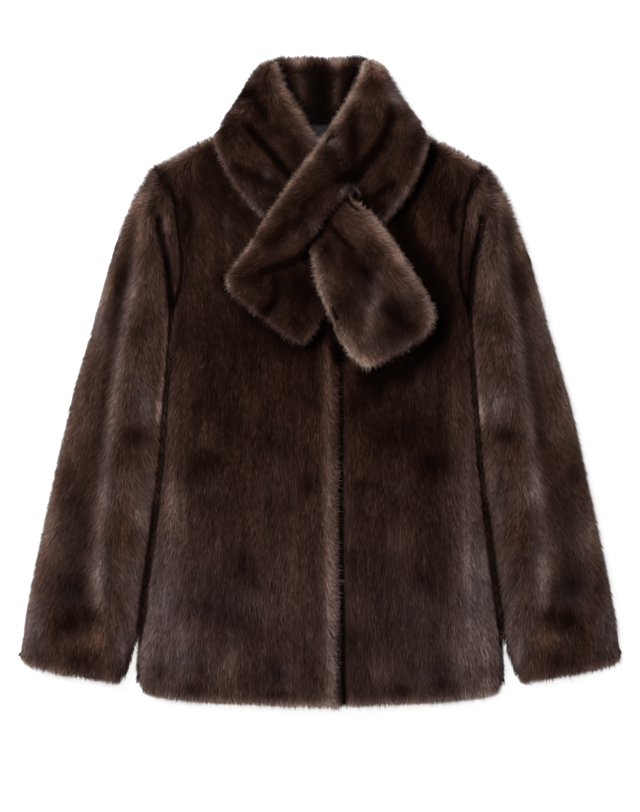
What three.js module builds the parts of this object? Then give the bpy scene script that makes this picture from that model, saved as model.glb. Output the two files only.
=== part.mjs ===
// Fur coat with a pull-through scarf collar, laid flat on its back with the front up.
// Millimetres: X to the picture's right, Y from hem to collar, Z up from the surface it lies on.
import * as THREE from "three";

// Driving dimensions: depths hold the skin, its lining and the full fur
const SEAM_GAP = 0.3;
const SIDE_GAP = 0.6;
const NECK_SEAM_GAP = 0.8;
const LOWER_DEPTH = 15;
const FRONT_DEPTH = 16;
const FRONT_CROWN = 3;
const SLEEVE_DEPTH = 16;
const SLEEVE_CROWN = 5;
const COLLAR_BACK_DEPTH = 16;
const BAND_DEPTH = 14;
const LINING_DEPTH = 3;

// How far in from an edge a panel reaches its full height, and how low its seams are pressed
const FRONT_CROWN_REACH = 90;
const SLEEVE_CROWN_REACH = 45;
const SEAM_DIP = 0.72;

// Roundings of the fur at the edges
const SIDE_ROUND = 20;
const SLEEVE_ROUND = 17;
const SHOULDER_ROUND = 16;
const HEM_ROUND = 10;
const ARMHOLE_ROUND = 9;
const COLLAR_ROUND = 9;
const HEM_CORNER = 14;
const CUFF_CORNER = 13;
const SLEEVE_TOP_ROUND = 5;
const COLLAR_TOP_CORNER = 20;
const INNER_END_CORNER = 10;
const OUTER_END_CORNER = 14;

// Front closing: the wearer's right front lies on the left one
const LAP_EDGE = 19;
const UNDERLAP_EDGE = -16;
const UNDERLAP_DEPTH = 9;
const LAP_DEPTH = 12;
const LAP_WIDTH = LAP_EDGE - UNDERLAP_EDGE;
const LAP_STEP = 2;
const LAP_RISE_WIDTH = 17;
const UNDERLAP_RISE_WIDTH = 19;
const LAP_FADE_START = 205;
const LAP_FADE_END = 240;
const UNDERLAP_FADE_END = 235;

// Slit of the upper band, and how far the lower strip is squeezed in it
const SLIT_SHARE = 0.55;
const SLIT_COLUMN = 7;
const SLIT_START = 163;
const SLIT_END = 251;
const SLIT_LIP = 14;
const LIP_DIP_LENGTH = 26;
const PRESSED_FROM = 4;
const PRESSED_TO = 34;
const PRESSED_END = 10;
const PRESSED_FADE = 50;
const PRESSED_DEPTH = 8;
const STRIP_DEPTH_IN_SLIT = 11;
const SETTLING_ROUNDS = 3;

// Way of the strip up through the slit: a first share of the climb before it, the rest in it
const FIRST_CLIMB = 0.45;
const FIRST_CLIMB_LENGTH = 34;
const CLIMB_LEAD = 6;
const CLIMB_TAIL = 22;
const SQUEEZE_LENGTH = 22;

// How the collar's layers bridge steps below them
const BODY_BRIDGE = 24;
const LAYER_BRIDGE = 14;
const PILE_CELL = 4;
const PILE_BOX = { minX: -160, maxX: 170, minY: -10, maxY: 410 };

// Heights, from hem to collar, between which a side turns into a seam and a seam into a shoulder
const ARMPIT_FADE_START = 66;
const ARMPIT_FADE_END = 92;
const COLLAR_SEAM_X = 100;
const SHOULDER_OPEN_X = 135;
const HEM_MIDDLE_Y = -391;

const SEAM_LEVEL = LOWER_DEPTH + SEAM_GAP;

/** Rows of numbers under named columns. */
function table(columns, rows) {
  const names = columns.split(" ");
  return rows.map((row) => Object.fromEntries(names.map((name, k) => [name, row[k]])));
}

// Side seam and armhole, as distance from the centre line, hem to shoulder
const ARMPIT_ROW = 8;
const SIDE = table("x y", [
  [222, -377],
  [221.5, -320],
  [213, -265],
  [203.4, -204],
  [198.6, -143],
  [192.6, -79],
  [186.6, -12],
  [183, 34],
  [177.6, 78],
  [171, 108],
  [167.4, 142],
  [170, 178],
  [174.6, 206],
  [183, 236],
  [195, 260],
]);

// Front edge and neckline of each front, in step with the rows of SIDE
const LAP_FRONT = table("x y", [
  [LAP_EDGE, -390],
  [LAP_EDGE - 0.5, -330],
  [LAP_EDGE - 0.5, -268],
  [LAP_EDGE - 0.5, -208],
  [LAP_EDGE - 0.5, -146],
  [LAP_EDGE - 0.2, -82],
  [LAP_EDGE + 0.5, -14],
  [LAP_EDGE + 0.8, 34],
  [LAP_EDGE + 0.8, 80],
  [LAP_EDGE + 0.5, 125],
  [15, 170],
  [-2, 205],
  [-32, 240],
  [-70, 272],
  [-114, 303],
]);

const UNDERLAP_FRONT = table("x y", [
  [UNDERLAP_EDGE, -386],
  [UNDERLAP_EDGE, -330],
  [UNDERLAP_EDGE, -268],
  [UNDERLAP_EDGE, -208],
  [UNDERLAP_EDGE, -146],
  [UNDERLAP_EDGE, -82],
  [UNDERLAP_EDGE, -14],
  [UNDERLAP_EDGE, 34],
  [UNDERLAP_EDGE, 80],
  [UNDERLAP_EDGE, 120],
  [UNDERLAP_EDGE + 4, 160],
  [2, 205],
  [32, 240],
  [70, 272],
  [114, 303],
]);

// Hem and shoulder lines between side and front edge, as distance from the centre line
const FRONT_HEM = table("x y", [
  [222, -377],
  [193, -380],
  [145, -386],
  [90, -388],
  [40, -391],
]);
const SHOULDER = table("x y", [
  [195, 260],
  [169, 273.5],
  [145, 286.8],
  [132.6, 295.2],
  [114, 303],
]);
const BACK_NECK = table("x y", [
  [114, 303],
  [75, 309],
  [38, 312.5],
  [0, 313.5],
]);

// Sleeve below the place where it leaves the body: outer and inner edge, cuff upward
const SLEEVE_CUFF = table("outX outY inX inY", [
  [364, -337, 237, -365],
  [358.5, -305, 229, -335],
  [353, -270, 219.5, -298],
]);
// Outer edge of the sleeve from there to the shoulder, in step with SIDE from its row 2
const SLEEVE_JOIN_ROW = 2;
const SLEEVE_OUTER = table("x y", [
  [347, -238],
  [334.3, -177],
  [321.5, -118],
  [307.5, -55],
  [291.4, 10],
  [278, 55],
  [266.5, 97],
  [258.4, 128],
  [247.6, 163],
  [234.6, 196],
  [222, 225],
  [207, 248],
  [199.5, 258],
]);

// Collar behind the neck: fold line at the side, seam to top edge
const COLLAR_SIDE = table("x y", [
  [131, 297],
  [127, 307],
  [121, 317],
  [114, 325],
  [106, 335],
  [103, 344],
  [96, 356],
  [90, 365],
  [84, 378],
  [78, 390],
]);
const COLLAR_TOP = table("x y", [
  [78, 390],
  [48, 392.5],
  [24, 391],
  [0, 390.5],
]);

// Strip that starts at the picture's left, passes under the other band and through its slit
const STRIP = table("outX outY inX inY", [
  [-87, 376, -56, 393],
  [-103.8, 342, -46, 373],
  [-118, 320.4, -37, 357],
  [-132.6, 295.2, -29.5, 345.6],
  [-124.2, 270, -21.5, 333.6],
  [-106.2, 237.6, -6.5, 307.2],
  [-88.2, 214, 9, 279.6],
  [-66.6, 194, 23.4, 255.6],
  [-35.4, 177, 33, 236],
  [-9, 165.6, 36.6, 222],
  [-12.6, 145.2, 61.8, 206.4],
  [-9, 120, 87, 175],
  [4.2, 87.6, 110.4, 139.2],
  [19.8, 54, 132, 103.2],
  [42.6, 9.5, 146.5, 69.5],
]);
const STRIP_SLIT_ROW = 9;
const TAIL_CORNER = 30;

// Band that starts at the picture's right and lies on top, down to its end
const BAND = table("inX inY outX outY", [
  [56, 393, 87, 376],
  [46.5, 375.6, 102, 343],
  [38.6, 362.4, 117.5, 323],
  [28.4, 343.2, 132.6, 295.2],
  [17.6, 325.7, 127.8, 267.6],
  [-0.4, 297.1, 112.2, 234.6],
  [-16, 271.2, 96.6, 211.2],
  [-39.4, 240, 81, 193.2],
  [-60.4, 208.8, 61.8, 165.6],
  [-83.7, 172, 37.8, 133.2],
  [-102.4, 147.6, 19.8, 102],
  [-122, 120, -14, 37],
]);
const BAND_CORNER = 16;

const NECK_LINING = table("inX inY outX outY", [
  [-52, 274, 52, 274],
  [-58, 290, 58, 290],
  [-62, 307, 62, 307],
]);
const LINING_FOOT = table("x y", [
  [-52, 274],
  [-25, 258],
  [0, 252],
  [25, 258],
  [52, 274],
]);
const LINING_HEAD = table("x y", [
  [-62, 307],
  [-30, 311],
  [0, 312.5],
  [30, 311],
  [62, 307],
]);

// Soft troughs (negative rise) and ridges: a route, its half width and its height
const SLEEVE_FOLDS = [
  { rise: -6, reach: 9, route: [[218, 218], [224, 185], [228, 141], [238, 92], [246, 35], [252, -10]] },
  { rise: -5, reach: 9, route: [[252, -10], [260, -90], [268, -157], [270, -200], [272, -240]] },
  { rise: 4, reach: 13, route: [[208, 196], [212, 140], [222, 90], [230, 33], [237, -12]] },
  { rise: 4, reach: 13, route: [[238, -25], [244, -90], [251, -180]] },
  { rise: -6, reach: 7, route: [[196, 202], [191, 176], [183, 146], [180, 109], [181, 88]] },
  { rise: 3, reach: 9, route: [[184, 205], [180, 168]] },
  { rise: -3, reach: 11, route: [[305, -66], [272, -92]] },
  { rise: -3, reach: 12, route: [[216, -92], [234, -128]] },
  { rise: -4, reach: 17, route: [[308, -282], [280, -288]] },
];
const BODY_FOLDS = [
  { rise: -5, reach: 7, route: [[163, 222], [159, 199], [164, 170]] },
  { rise: 2, reach: 12, route: [[146, 214], [142, 160]] },
  { rise: -3, reach: 20, route: [[129, -62], [127, -120], [130, -190]] },
  { rise: -2.5, reach: 20, route: [[92, -230], [84, -385]] },
  { rise: 2, reach: 22, route: [[162, -200], [172, -380]] },
  { rise: -2, reach: 18, route: [[176, 66], [150, 10], [120, -30]] },
];
const STRIP_FOLDS = [
  { rise: -4, reach: 5, route: [[-92, 347], [-76, 335]] },
  { rise: -4, reach: 7, route: [[-56, 274], [-41, 255]] },
  { rise: -3, reach: 8, route: [[-98, 312], [-78, 274], [-62, 250]] },
  { rise: -5, reach: 6, route: [[15, 184], [25, 160], [30, 140]] },
  { rise: -3, reach: 10, route: [[60, 150], [84, 104], [98, 78]] },
];
const BAND_FOLDS = [
  { rise: -4, reach: 8, route: [[81, 330], [62, 292], [47, 261]] },
  { rise: -3, reach: 8, route: [[104, 292], [86, 250], [66, 226]] },
  { rise: -6, reach: 6, route: [[-12, 160], [-26, 149], [-47, 136], [-66, 130]] },
  { rise: -4, reach: 6, route: [[-58, 114], [-60, 90]] },
];

// Least room between the rounded zones of two edges, and how finely a middle line is sampled
const MIDDLE_ROOM = 1.15;
const MIDDLE_SAMPLES = 240;

const clamp = THREE.MathUtils.clamp;
const lerp = THREE.MathUtils.lerp;
const smooth = THREE.MathUtils.smoothstep;

/** Smooth plane curve through a table's points. */
function curveThrough(points) {
  return new THREE.SplineCurve(points.map(({ x, y }) => new THREE.Vector2(x, y)));
}

/** Distance from a point to a route of straight steps. */
function distanceTo(route, x, y) {
  let nearest = Infinity;
  for (let k = 1; k < route.length; k += 1) {
    const [ax, ay] = route[k - 1];
    const [bx, by] = route[k];
    const length = (bx - ax) ** 2 + (by - ay) ** 2;
    const t = clamp(((x - ax) * (bx - ax) + (y - ay) * (by - ay)) / length, 0, 1);
    nearest = Math.min(nearest, Math.hypot(x - lerp(ax, bx, t), y - lerp(ay, by, t)));
  }
  return nearest;
}

/** Height that a set of soft folds adds at a point. */
function foldRise(folds, x, y) {
  return folds.reduce((sum, fold) => {
    const away = distanceTo(fold.route, x, y) / fold.reach;
    return sum + fold.rise * Math.exp(-away * away);
  }, 0);
}

/** Share of the depth reached at a distance inside a rounded edge. */
function roundedShare(distance, radius) {
  const rest = 1 - clamp(distance / radius, 0, 1);
  return Math.sqrt(1 - rest * rest);
}

/** Distances from an edge, closer together where it is rounded. */
function roundedSteps(radius) {
  return [0, 0.16, 0.48, 1].map((share) => share * radius);
}

/** Distances from 0 to a length: steps near each end, and even ones between. */
function stations(length, startSteps, endSteps, count) {
  const needed = startSteps.at(-1) + endSteps.at(-1);
  const scale = Math.min(1, length / (MIDDLE_ROOM * needed));
  const from = startSteps.at(-1) * scale;
  const to = length - endSteps.at(-1) * scale;
  const between = [];
  for (let k = 1; k < count; k += 1) {
    between.push(lerp(from, to, k / count));
  }
  const near = startSteps.map((step) => step * scale);
  const far = endSteps.map((step) => length - step * scale).reverse();
  return [...near, ...between, ...far];
}

/** Plan of a panel between two edge curves, with curved ends where a table gives them. */
class Plan {
  constructor(a, b, startCurve, endCurve) {
    this.a = a;
    this.b = b;
    this.start = startCurve && curveThrough(startCurve);
    this.end = endCurve && curveThrough(endCurve);
    this.samples = MIDDLE_SAMPLES;
    this.lengths = [0];
    let last = this.middle(0);
    for (let k = 1; k <= this.samples; k += 1) {
      const next = this.middle(k / this.samples);
      this.lengths.push(this.lengths[k - 1] + next.distanceTo(last));
      last = next;
    }
    this.length = this.lengths[this.samples];
    const across = this.b.getPoint(0.5).sub(this.a.getPoint(0.5));
    this.turnsLeft = across.cross(this.middle(0.6).sub(this.middle(0.4))) > 0;
  }

  middle(t) {
    return this.a.getPoint(t).lerp(this.b.getPoint(t), 0.5);
  }

  /** Distance along the middle at a place from 0 to 1. */
  distanceAt(place) {
    const k = Math.min(Math.floor(place * this.samples), this.samples - 1);
    return lerp(this.lengths[k], this.lengths[k + 1], place * this.samples - k);
  }

  /** Place, from 0 to 1, at a distance along the middle. */
  placeAt(distance) {
    const target = clamp(distance, 0, this.length);
    let k = 1;
    while (k < this.samples && this.lengths[k] < target) {
      k += 1;
    }
    const part = (target - this.lengths[k - 1]) / (this.lengths[k] - this.lengths[k - 1]);
    return (k - 1 + part) / this.samples;
  }

  widthAt(distance) {
    const t = this.placeAt(distance);
    return this.a.getPoint(t).distanceTo(this.b.getPoint(t));
  }

  point(share, distance) {
    const t = this.placeAt(distance);
    const point = this.a.getPoint(t).lerp(this.b.getPoint(t), share);
    const along = distance / this.length;
    this.bend(point, this.start, share, 0, (1 - along) ** 3);
    this.bend(point, this.end, share, 1, along ** 3);
    return point;
  }

  bend(point, curve, share, place, weight) {
    if (!curve) {
      return;
    }
    const straight = this.a.getPoint(place).lerp(this.b.getPoint(place), share);
    point.addScaledVector(curve.getPointAt(share).sub(straight), weight);
  }
}

/** Distances to two edges that meet, moved so that their corner becomes an arc. */
function roundCorner(first, second, radius) {
  const p = radius - first;
  const q = radius - second;
  if (p <= 0 || q <= 0) {
    return [first, second];
  }
  const shrink = Math.max(p, q) / Math.hypot(p, q);
  return [radius - p * shrink, radius - q * shrink];
}

/**
 * Closed solid of one panel. Each edge has a rounding radius and the two levels, as shares of
 * the depth, at which the upper and the lower side reach it.
 */
function panelGeometry({ plan, edges, corners, columns, places, under, depth, slit }) {
  const rowsAt = places.map((place) => plan.distanceAt(place));
  const lastRow = rowsAt.length - 1;
  const grid = rowsAt.map((s) => {
    const width = plan.widthAt(s);
    const distances = stations(width, columns.a, columns.b, columns.count);
    if (slit) {
      distances[slit.column] = slit.share * width;
    }
    return { width, distances };
  });
  const lastColumn = grid[0].distances.length - 1;
  const slitRows = slit ? rowsAt.map((s) => s > slit.from && s < slit.to) : [];
  const positions = [];
  const numbers = new Map();
  const index = [];

  function place(row, column) {
    const width = grid[row].width;
    let fromA = grid[row].distances[column];
    let fromB = width - fromA;
    let fromStart = rowsAt[row];
    let fromEnd = plan.length - fromStart;
    const distances = { a: fromA, b: fromB, start: fromStart, end: fromEnd };
    if (fromStart < fromEnd) {
      [fromA, fromStart] = roundCorner(fromA, fromStart, corners.startA ?? 0);
      [fromB, fromStart] = roundCorner(fromB, fromStart, corners.startB ?? 0);
      fromEnd = plan.length - fromStart;
    } else {
      [fromA, fromEnd] = roundCorner(fromA, fromEnd, corners.endA ?? 0);
      [fromB, fromEnd] = roundCorner(fromB, fromEnd, corners.endB ?? 0);
    }
    const share = distances.a < distances.b ? fromA / width : 1 - fromB / width;
    const point = plan.point(share, plan.length - fromEnd);
    return { point, distances };
  }

  function corner(row, column, side) {
    const { point, distances } = place(row, column);
    const { x, y } = point;
    const base = under(x, y, side, distances);
    const full = depth(x, y, side, distances);
    let upper = 1;
    let lower = 0;
    const round = (edge, distance) => {
      const q = roundedShare(distance, edge.radius);
      upper = Math.min(upper, lerp(edge.upper, 1, q));
      lower = Math.max(lower, edge.lower * (1 - q));
    };
    for (const [name, distance] of Object.entries(distances)) {
      const edge = edges[name];
      round(typeof edge === "function" ? edge(x, y) : edge, distance);
    }
    if (slit && slitRows[row]) {
      const across = Math.abs(distances.a - slit.share * grid[row].width);
      const along = Math.min(rowsAt[row] - slit.from, slit.to - rowsAt[row]);
      round(slit.edge, Math.hypot(across, Math.max(0, slit.edge.radius / 3 - along)));
      if (column === slit.column) {
        lower = slit.edge.lower;
        upper = slit.edge.upper;
      }
    }
    return { x, y, top: base + full * upper, bottom: base + full * lower };
  }

  function number(x, y, z) {
    const key = [x, y, z].map((value) => Math.round(value * 100)).join(" ");
    if (!numbers.has(key)) {
      numbers.set(key, positions.length / 3);
      positions.push(x, y, z);
    }
    return numbers.get(key);
  }

  function triangle(p, q, r) {
    if (p !== q && q !== r && r !== p) {
      index.push(p, ...(plan.turnsLeft ? [q, r] : [r, q]));
    }
  }

  function quad(p, q, r, s) {
    triangle(p, q, r);
    triangle(p, r, s);
  }

  const sides = { left: [], right: [] };
  for (const side of ["left", "right"]) {
    for (let row = 0; row <= lastRow; row += 1) {
      sides[side].push(
        grid[row].distances.map((distance, column) => {
          const onSlit = slit && column === slit.column && slitRows[row];
          const half = slit && column > slit.column ? "right" : "left";
          const c = corner(row, column, onSlit ? side : half);
          return { top: number(c.x, c.y, c.top), bottom: number(c.x, c.y, c.bottom) };
        }),
      );
    }
  }
  const at = (row, column, half) => sides[half][row][column];
  const wall = (p, q) => quad(p.top, p.bottom, q.bottom, q.top);

  for (let row = 0; row < lastRow; row += 1) {
    for (let column = 0; column < lastColumn; column += 1) {
      const half = slit && column >= slit.column ? "right" : "left";
      const ring = [
        at(row, column, half),
        at(row, column + 1, half),
        at(row + 1, column + 1, half),
        at(row + 1, column, half),
      ];
      quad(...ring.map((c) => c.top));
      quad(...ring.map((c) => c.bottom).reverse());
    }
    wall(at(row + 1, 0, "left"), at(row, 0, "left"));
    wall(at(row, lastColumn, "right"), at(row + 1, lastColumn, "right"));
    if (slit && (slitRows[row] || slitRows[row + 1])) {
      wall(at(row, slit.column, "left"), at(row + 1, slit.column, "left"));
      wall(at(row + 1, slit.column, "right"), at(row, slit.column, "right"));
    }
  }
  for (let column = 0; column < lastColumn; column += 1) {
    wall(at(0, column, "left"), at(0, column + 1, "left"));
    wall(at(lastRow, column + 1, "left"), at(lastRow, column, "left"));
  }

  const geometry = new THREE.BufferGeometry();
  geometry.setAttribute("position", new THREE.Float32BufferAttribute(positions, 3));
  geometry.setIndex(index);
  geometry.computeVertexNormals();
  return geometry;
}

/** Heights of what has been laid down so far, on a square grid. */
class Pile {
  constructor({ minX, maxX, minY, maxY }, cell) {
    Object.assign(this, { minX, minY, cell });
    this.columns = Math.round((maxX - minX) / cell) + 1;
    this.rows = Math.round((maxY - minY) / cell) + 1;
    this.heights = new Float64Array(this.columns * this.rows);
  }

  copy() {
    const other = Object.assign(Object.create(Pile.prototype), this);
    other.heights = this.heights.slice();
    return other;
  }

  /** Adds the upper faces of a solid, where the test lets them count. */
  add(geometry, counts = () => true) {
    const position = geometry.getAttribute("position");
    const index = geometry.getIndex();
    const [p, q, r, probe] = [0, 0, 0, 0].map(() => new THREE.Vector3());
    const face = new THREE.Triangle(p, q, r);
    const normal = new THREE.Vector3();
    const weights = new THREE.Vector3();
    const flat = new THREE.Triangle();
    for (let k = 0; k < index.count; k += 3) {
      p.fromBufferAttribute(position, index.getX(k));
      q.fromBufferAttribute(position, index.getX(k + 1));
      r.fromBufferAttribute(position, index.getX(k + 2));
      if (face.getNormal(normal).z <= 0.001) {
        continue;
      }
      flat.set(p.clone().setZ(0), q.clone().setZ(0), r.clone().setZ(0));
      const column = (x) => (x - this.minX) / this.cell;
      const row = (y) => (y - this.minY) / this.cell;
      const firstColumn = Math.max(0, Math.ceil(column(Math.min(p.x, q.x, r.x))));
      const endColumn = Math.min(this.columns - 1, Math.floor(column(Math.max(p.x, q.x, r.x))));
      const firstRow = Math.max(0, Math.ceil(row(Math.min(p.y, q.y, r.y))));
      const endRow = Math.min(this.rows - 1, Math.floor(row(Math.max(p.y, q.y, r.y))));
      for (let j = firstRow; j <= endRow; j += 1) {
        for (let i = firstColumn; i <= endColumn; i += 1) {
          probe.set(this.minX + i * this.cell, this.minY + j * this.cell, 0);
          if (!flat.getBarycoord(probe, weights) || Math.min(weights.x, weights.y, weights.z) < -1e-6) {
            continue;
          }
          const height = weights.x * p.z + weights.y * q.z + weights.z * r.z;
          const spot = j * this.columns + i;
          if (height > this.heights[spot] && counts(probe.x, probe.y)) {
            this.heights[spot] = height;
          }
        }
      }
    }
    return this;
  }

  /** Combines each height with those around it. */
  filtered(radius, start, combine) {
    const span = Math.floor(radius / this.cell);
    const result = new Float64Array(this.heights.length);
    for (let j = 0; j < this.rows; j += 1) {
      for (let i = 0; i < this.columns; i += 1) {
        let value = start;
        let count = 0;
        for (let dj = -span; dj <= span; dj += 1) {
          for (let di = -span; di <= span; di += 1) {
            const [c, r] = [i + di, j + dj];
            const outside = c < 0 || r < 0 || c >= this.columns || r >= this.rows;
            if (!outside && Math.hypot(di, dj) * this.cell <= radius) {
              value = combine(value, this.heights[r * this.columns + c]);
              count += 1;
            }
          }
        }
        result[j * this.columns + i] = start === 0 ? value / count : value;
      }
    }
    const other = this.copy();
    other.heights = result;
    return other;
  }

  /** Surface on which a soft layer lies: it bridges steps and never dips into the pile. */
  cover(bridge, blend) {
    const raised = this.filtered(bridge, -1, Math.max);
    const soft = raised.filtered(blend, 0, (sum, height) => sum + height);
    return (x, y) => {
      const i = clamp((x - this.minX) / this.cell, 0, this.columns - 1.001);
      const j = clamp((y - this.minY) / this.cell, 0, this.rows - 1.001);
      const [c, r] = [Math.floor(i), Math.floor(j)];
      const height = (dc, dr) => soft.heights[(r + dr) * this.columns + c + dc];
      const lower = lerp(height(0, 0), height(1, 0), i - c);
      const upper = lerp(height(0, 1), height(1, 1), i - c);
      return lerp(lower, upper, j - r);
    };
  }
}

const edge = (radius, upper, lower) => ({ radius, upper, lower });

/** Edge that is a seam above the armpit and a rounded side below it. */
function sideEdge(radius, seamUpper, seamLower, openUpper, openLower) {
  return (x, y) => {
    const seam = smooth(y, ARMPIT_FADE_START, ARMPIT_FADE_END);
    return {
      radius: lerp(radius, ARMHOLE_ROUND, seam),
      upper: lerp(openUpper, seamUpper, seam),
      lower: lerp(openLower, seamLower, seam),
    };
  };
}

/** Columns of a panel with two rounded edges and a number of even steps between them. */
function roundedColumns(radiusA, radiusB, count) {
  return { a: roundedSteps(radiusA), b: roundedSteps(radiusB), count };
}

/** Row places of a panel, closer at its two rounded ends. */
function rowPlaces(plan, radius, count) {
  const steps = roundedSteps(radius);
  return stations(plan.length, steps, steps, count).map((distance) => plan.placeAt(distance));
}

/** Rows of SIDE at which body and sleeve both have a row of corners, above the hem. */
function seamRows() {
  const last = SIDE.length - 1;
  const rows = [];
  for (let row = 0.5; row < ARMPIT_ROW; row += 0.75) {
    rows.push(row);
  }
  for (let row = ARMPIT_ROW; row < last - 1; row += 0.625) {
    rows.push(row);
  }
  return rows.concat([1, 0.65, 0.4, 0.2, 0.07, 0].map((left) => last - left));
}

const sideCurve = curveThrough(SIDE);
const mirroredSide = curveThrough(SIDE.map(({ x, y }) => ({ x: -x, y })));
const HEM_ROWS = [0, 0.03, 0.09, 0.18];
const BODY_PLACES = [...HEM_ROWS, ...seamRows()].map((row) => row / (SIDE.length - 1));

const mirrored = (rows) => rows.map(({ x, y }) => ({ x: -x, y }));
const backwards = (rows) => [...rows].reverse();

/** Back, flat underneath and flat above, with both its sides. */
function backPanel() {
  const neck = [...BACK_NECK, ...backwards(mirrored(BACK_NECK)).slice(1)];
  const top = [...SHOULDER.slice(0, -1), ...neck, ...backwards(mirrored(SHOULDER)).slice(1)];
  const hem = [...FRONT_HEM, { x: 0, y: HEM_MIDDLE_Y }, ...backwards(mirrored(FRONT_HEM))];
  const side = sideEdge(SIDE_ROUND, 1, 0, 1, 1);
  return panelGeometry({
    plan: new Plan(mirroredSide, sideCurve, mirrored(hem), mirrored(top)),
    edges: { a: side, b: side, start: edge(HEM_ROUND, 0.5, 0.5), end: backTopEdge() },
    corners: { startA: HEM_CORNER, startB: HEM_CORNER },
    columns: roundedColumns(SIDE_ROUND, SIDE_ROUND, 6),
    places: BODY_PLACES,
    under: () => 0,
    depth: () => LOWER_DEPTH,
  });
}

/** Rounded where the shoulder shows, a seam where the collar is sewn on. */
function backTopEdge() {
  return (x) => edge(SHOULDER_ROUND, 1, smooth(Math.abs(x), COLLAR_SEAM_X, SHOULDER_OPEN_X));
}

/** Fullness of a front away from its side, with its folds. */
function frontCrown(x, y, fromSide) {
  const fullness = smooth(fromSide, 0, FRONT_CROWN_REACH);
  return FRONT_CROWN * fullness + foldRise(BODY_FOLDS, Math.abs(x), y);
}

/** Front at the picture's left, which laps over the other. */
function lapFront() {
  const rise = (distances, y) => {
    const near = 1 - smooth(distances.b, LAP_WIDTH + LAP_STEP, LAP_WIDTH + LAP_STEP + LAP_RISE_WIDTH);
    return near * (1 - smooth(y, LAP_FADE_START, LAP_FADE_END));
  };
  return panelGeometry({
    plan: new Plan(
      mirroredSide,
      curveThrough(LAP_FRONT),
      [...mirrored(FRONT_HEM), LAP_FRONT[0]],
      mirrored(SHOULDER),
    ),
    edges: {
      a: sideEdge(SIDE_ROUND, SEAM_DIP, 0, 0, 0),
      b: edge(HEM_ROUND, 0.4, 0.4),
      start: edge(HEM_ROUND, 0.5, 0.5),
      end: edge(SHOULDER_ROUND, 0, 0),
    },
    corners: { startA: HEM_CORNER, startB: HEM_CORNER / 2 },
    columns: {
      a: roundedSteps(SIDE_ROUND),
      b: [...roundedSteps(HEM_ROUND), LAP_WIDTH + LAP_STEP, LAP_WIDTH + LAP_STEP + LAP_RISE_WIDTH],
      count: 4,
    },
    places: BODY_PLACES,
    under: (x, y, side, distances) =>
      SEAM_LEVEL + rise(distances, y) * (UNDERLAP_DEPTH + SEAM_GAP),
    depth: (x, y, side, distances) =>
      lerp(FRONT_DEPTH, LAP_DEPTH, rise(distances, y)) + frontCrown(x, y, distances.a),
  });
}

/** Front at the picture's right, with the thin margin that lies under the other. */
function underFront() {
  const stepStart = LAP_WIDTH + LAP_STEP;
  const stepEnd = stepStart + UNDERLAP_RISE_WIDTH;
  const full = (distances, y) =>
    Math.max(smooth(distances.a, stepStart, stepEnd), smooth(y, LAP_FADE_START, UNDERLAP_FADE_END));
  return panelGeometry({
    plan: new Plan(
      curveThrough(UNDERLAP_FRONT),
      sideCurve,
      [UNDERLAP_FRONT[0], ...backwards(FRONT_HEM)],
      backwards(SHOULDER),
    ),
    edges: {
      a: edge(HEM_ROUND, 0.3, 0.3),
      b: sideEdge(SIDE_ROUND, SEAM_DIP, 0, 0, 0),
      start: edge(HEM_ROUND, 0.5, 0.5),
      end: edge(SHOULDER_ROUND, 0, 0),
    },
    corners: { startA: HEM_CORNER / 2, startB: HEM_CORNER },
    columns: {
      a: [...roundedSteps(HEM_ROUND), stepStart, stepEnd],
      b: roundedSteps(SIDE_ROUND),
      count: 4,
    },
    places: BODY_PLACES,
    under: () => SEAM_LEVEL,
    depth: (x, y, side, distances) =>
      lerp(UNDERLAP_DEPTH, FRONT_DEPTH, full(distances, y))
      + frontCrown(x, y, distances.b) * full(distances, y),
  });
}

/** Outer and inner edge of a sleeve; above its join the inner edge follows the body's side. */
function sleeveEdges(hand) {
  const rows = SLEEVE_CUFF.length + SLEEVE_OUTER.length;
  const outerRows = [...SLEEVE_CUFF.map(({ outX, outY }) => ({ x: outX, y: outY })), ...SLEEVE_OUTER];
  const cuff = SLEEVE_CUFF.map(({ inX, inY }) => ({ x: inX, y: inY }));
  const open = curveThrough([...cuff, ...SIDE.slice(SLEEVE_JOIN_ROW)]);
  const offset = SLEEVE_CUFF.length - SLEEVE_JOIN_ROW;
  const inner = {
    getPoint(place) {
      const row = place * (rows - 1) - offset;
      const onSide = row > SLEEVE_JOIN_ROW - 0.001;
      const point = onSide ? sideCurve.getPoint(row / (SIDE.length - 1)) : open.getPoint(place);
      return point.set(hand * (point.x + SIDE_GAP), point.y);
    },
  };
  const outer = curveThrough(outerRows.map(({ x, y }) => ({ x: hand * x, y })));
  const shared = seamRows().filter((row) => row > SLEEVE_JOIN_ROW - 0.5);
  const cuffRows = [0, 0.05, 0.16, 0.33, 1, 1.7];
  const places = [...cuffRows, ...shared.map((row) => row + offset)].map((row) => row / (rows - 1));
  return { outer, inner, places };
}

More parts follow.
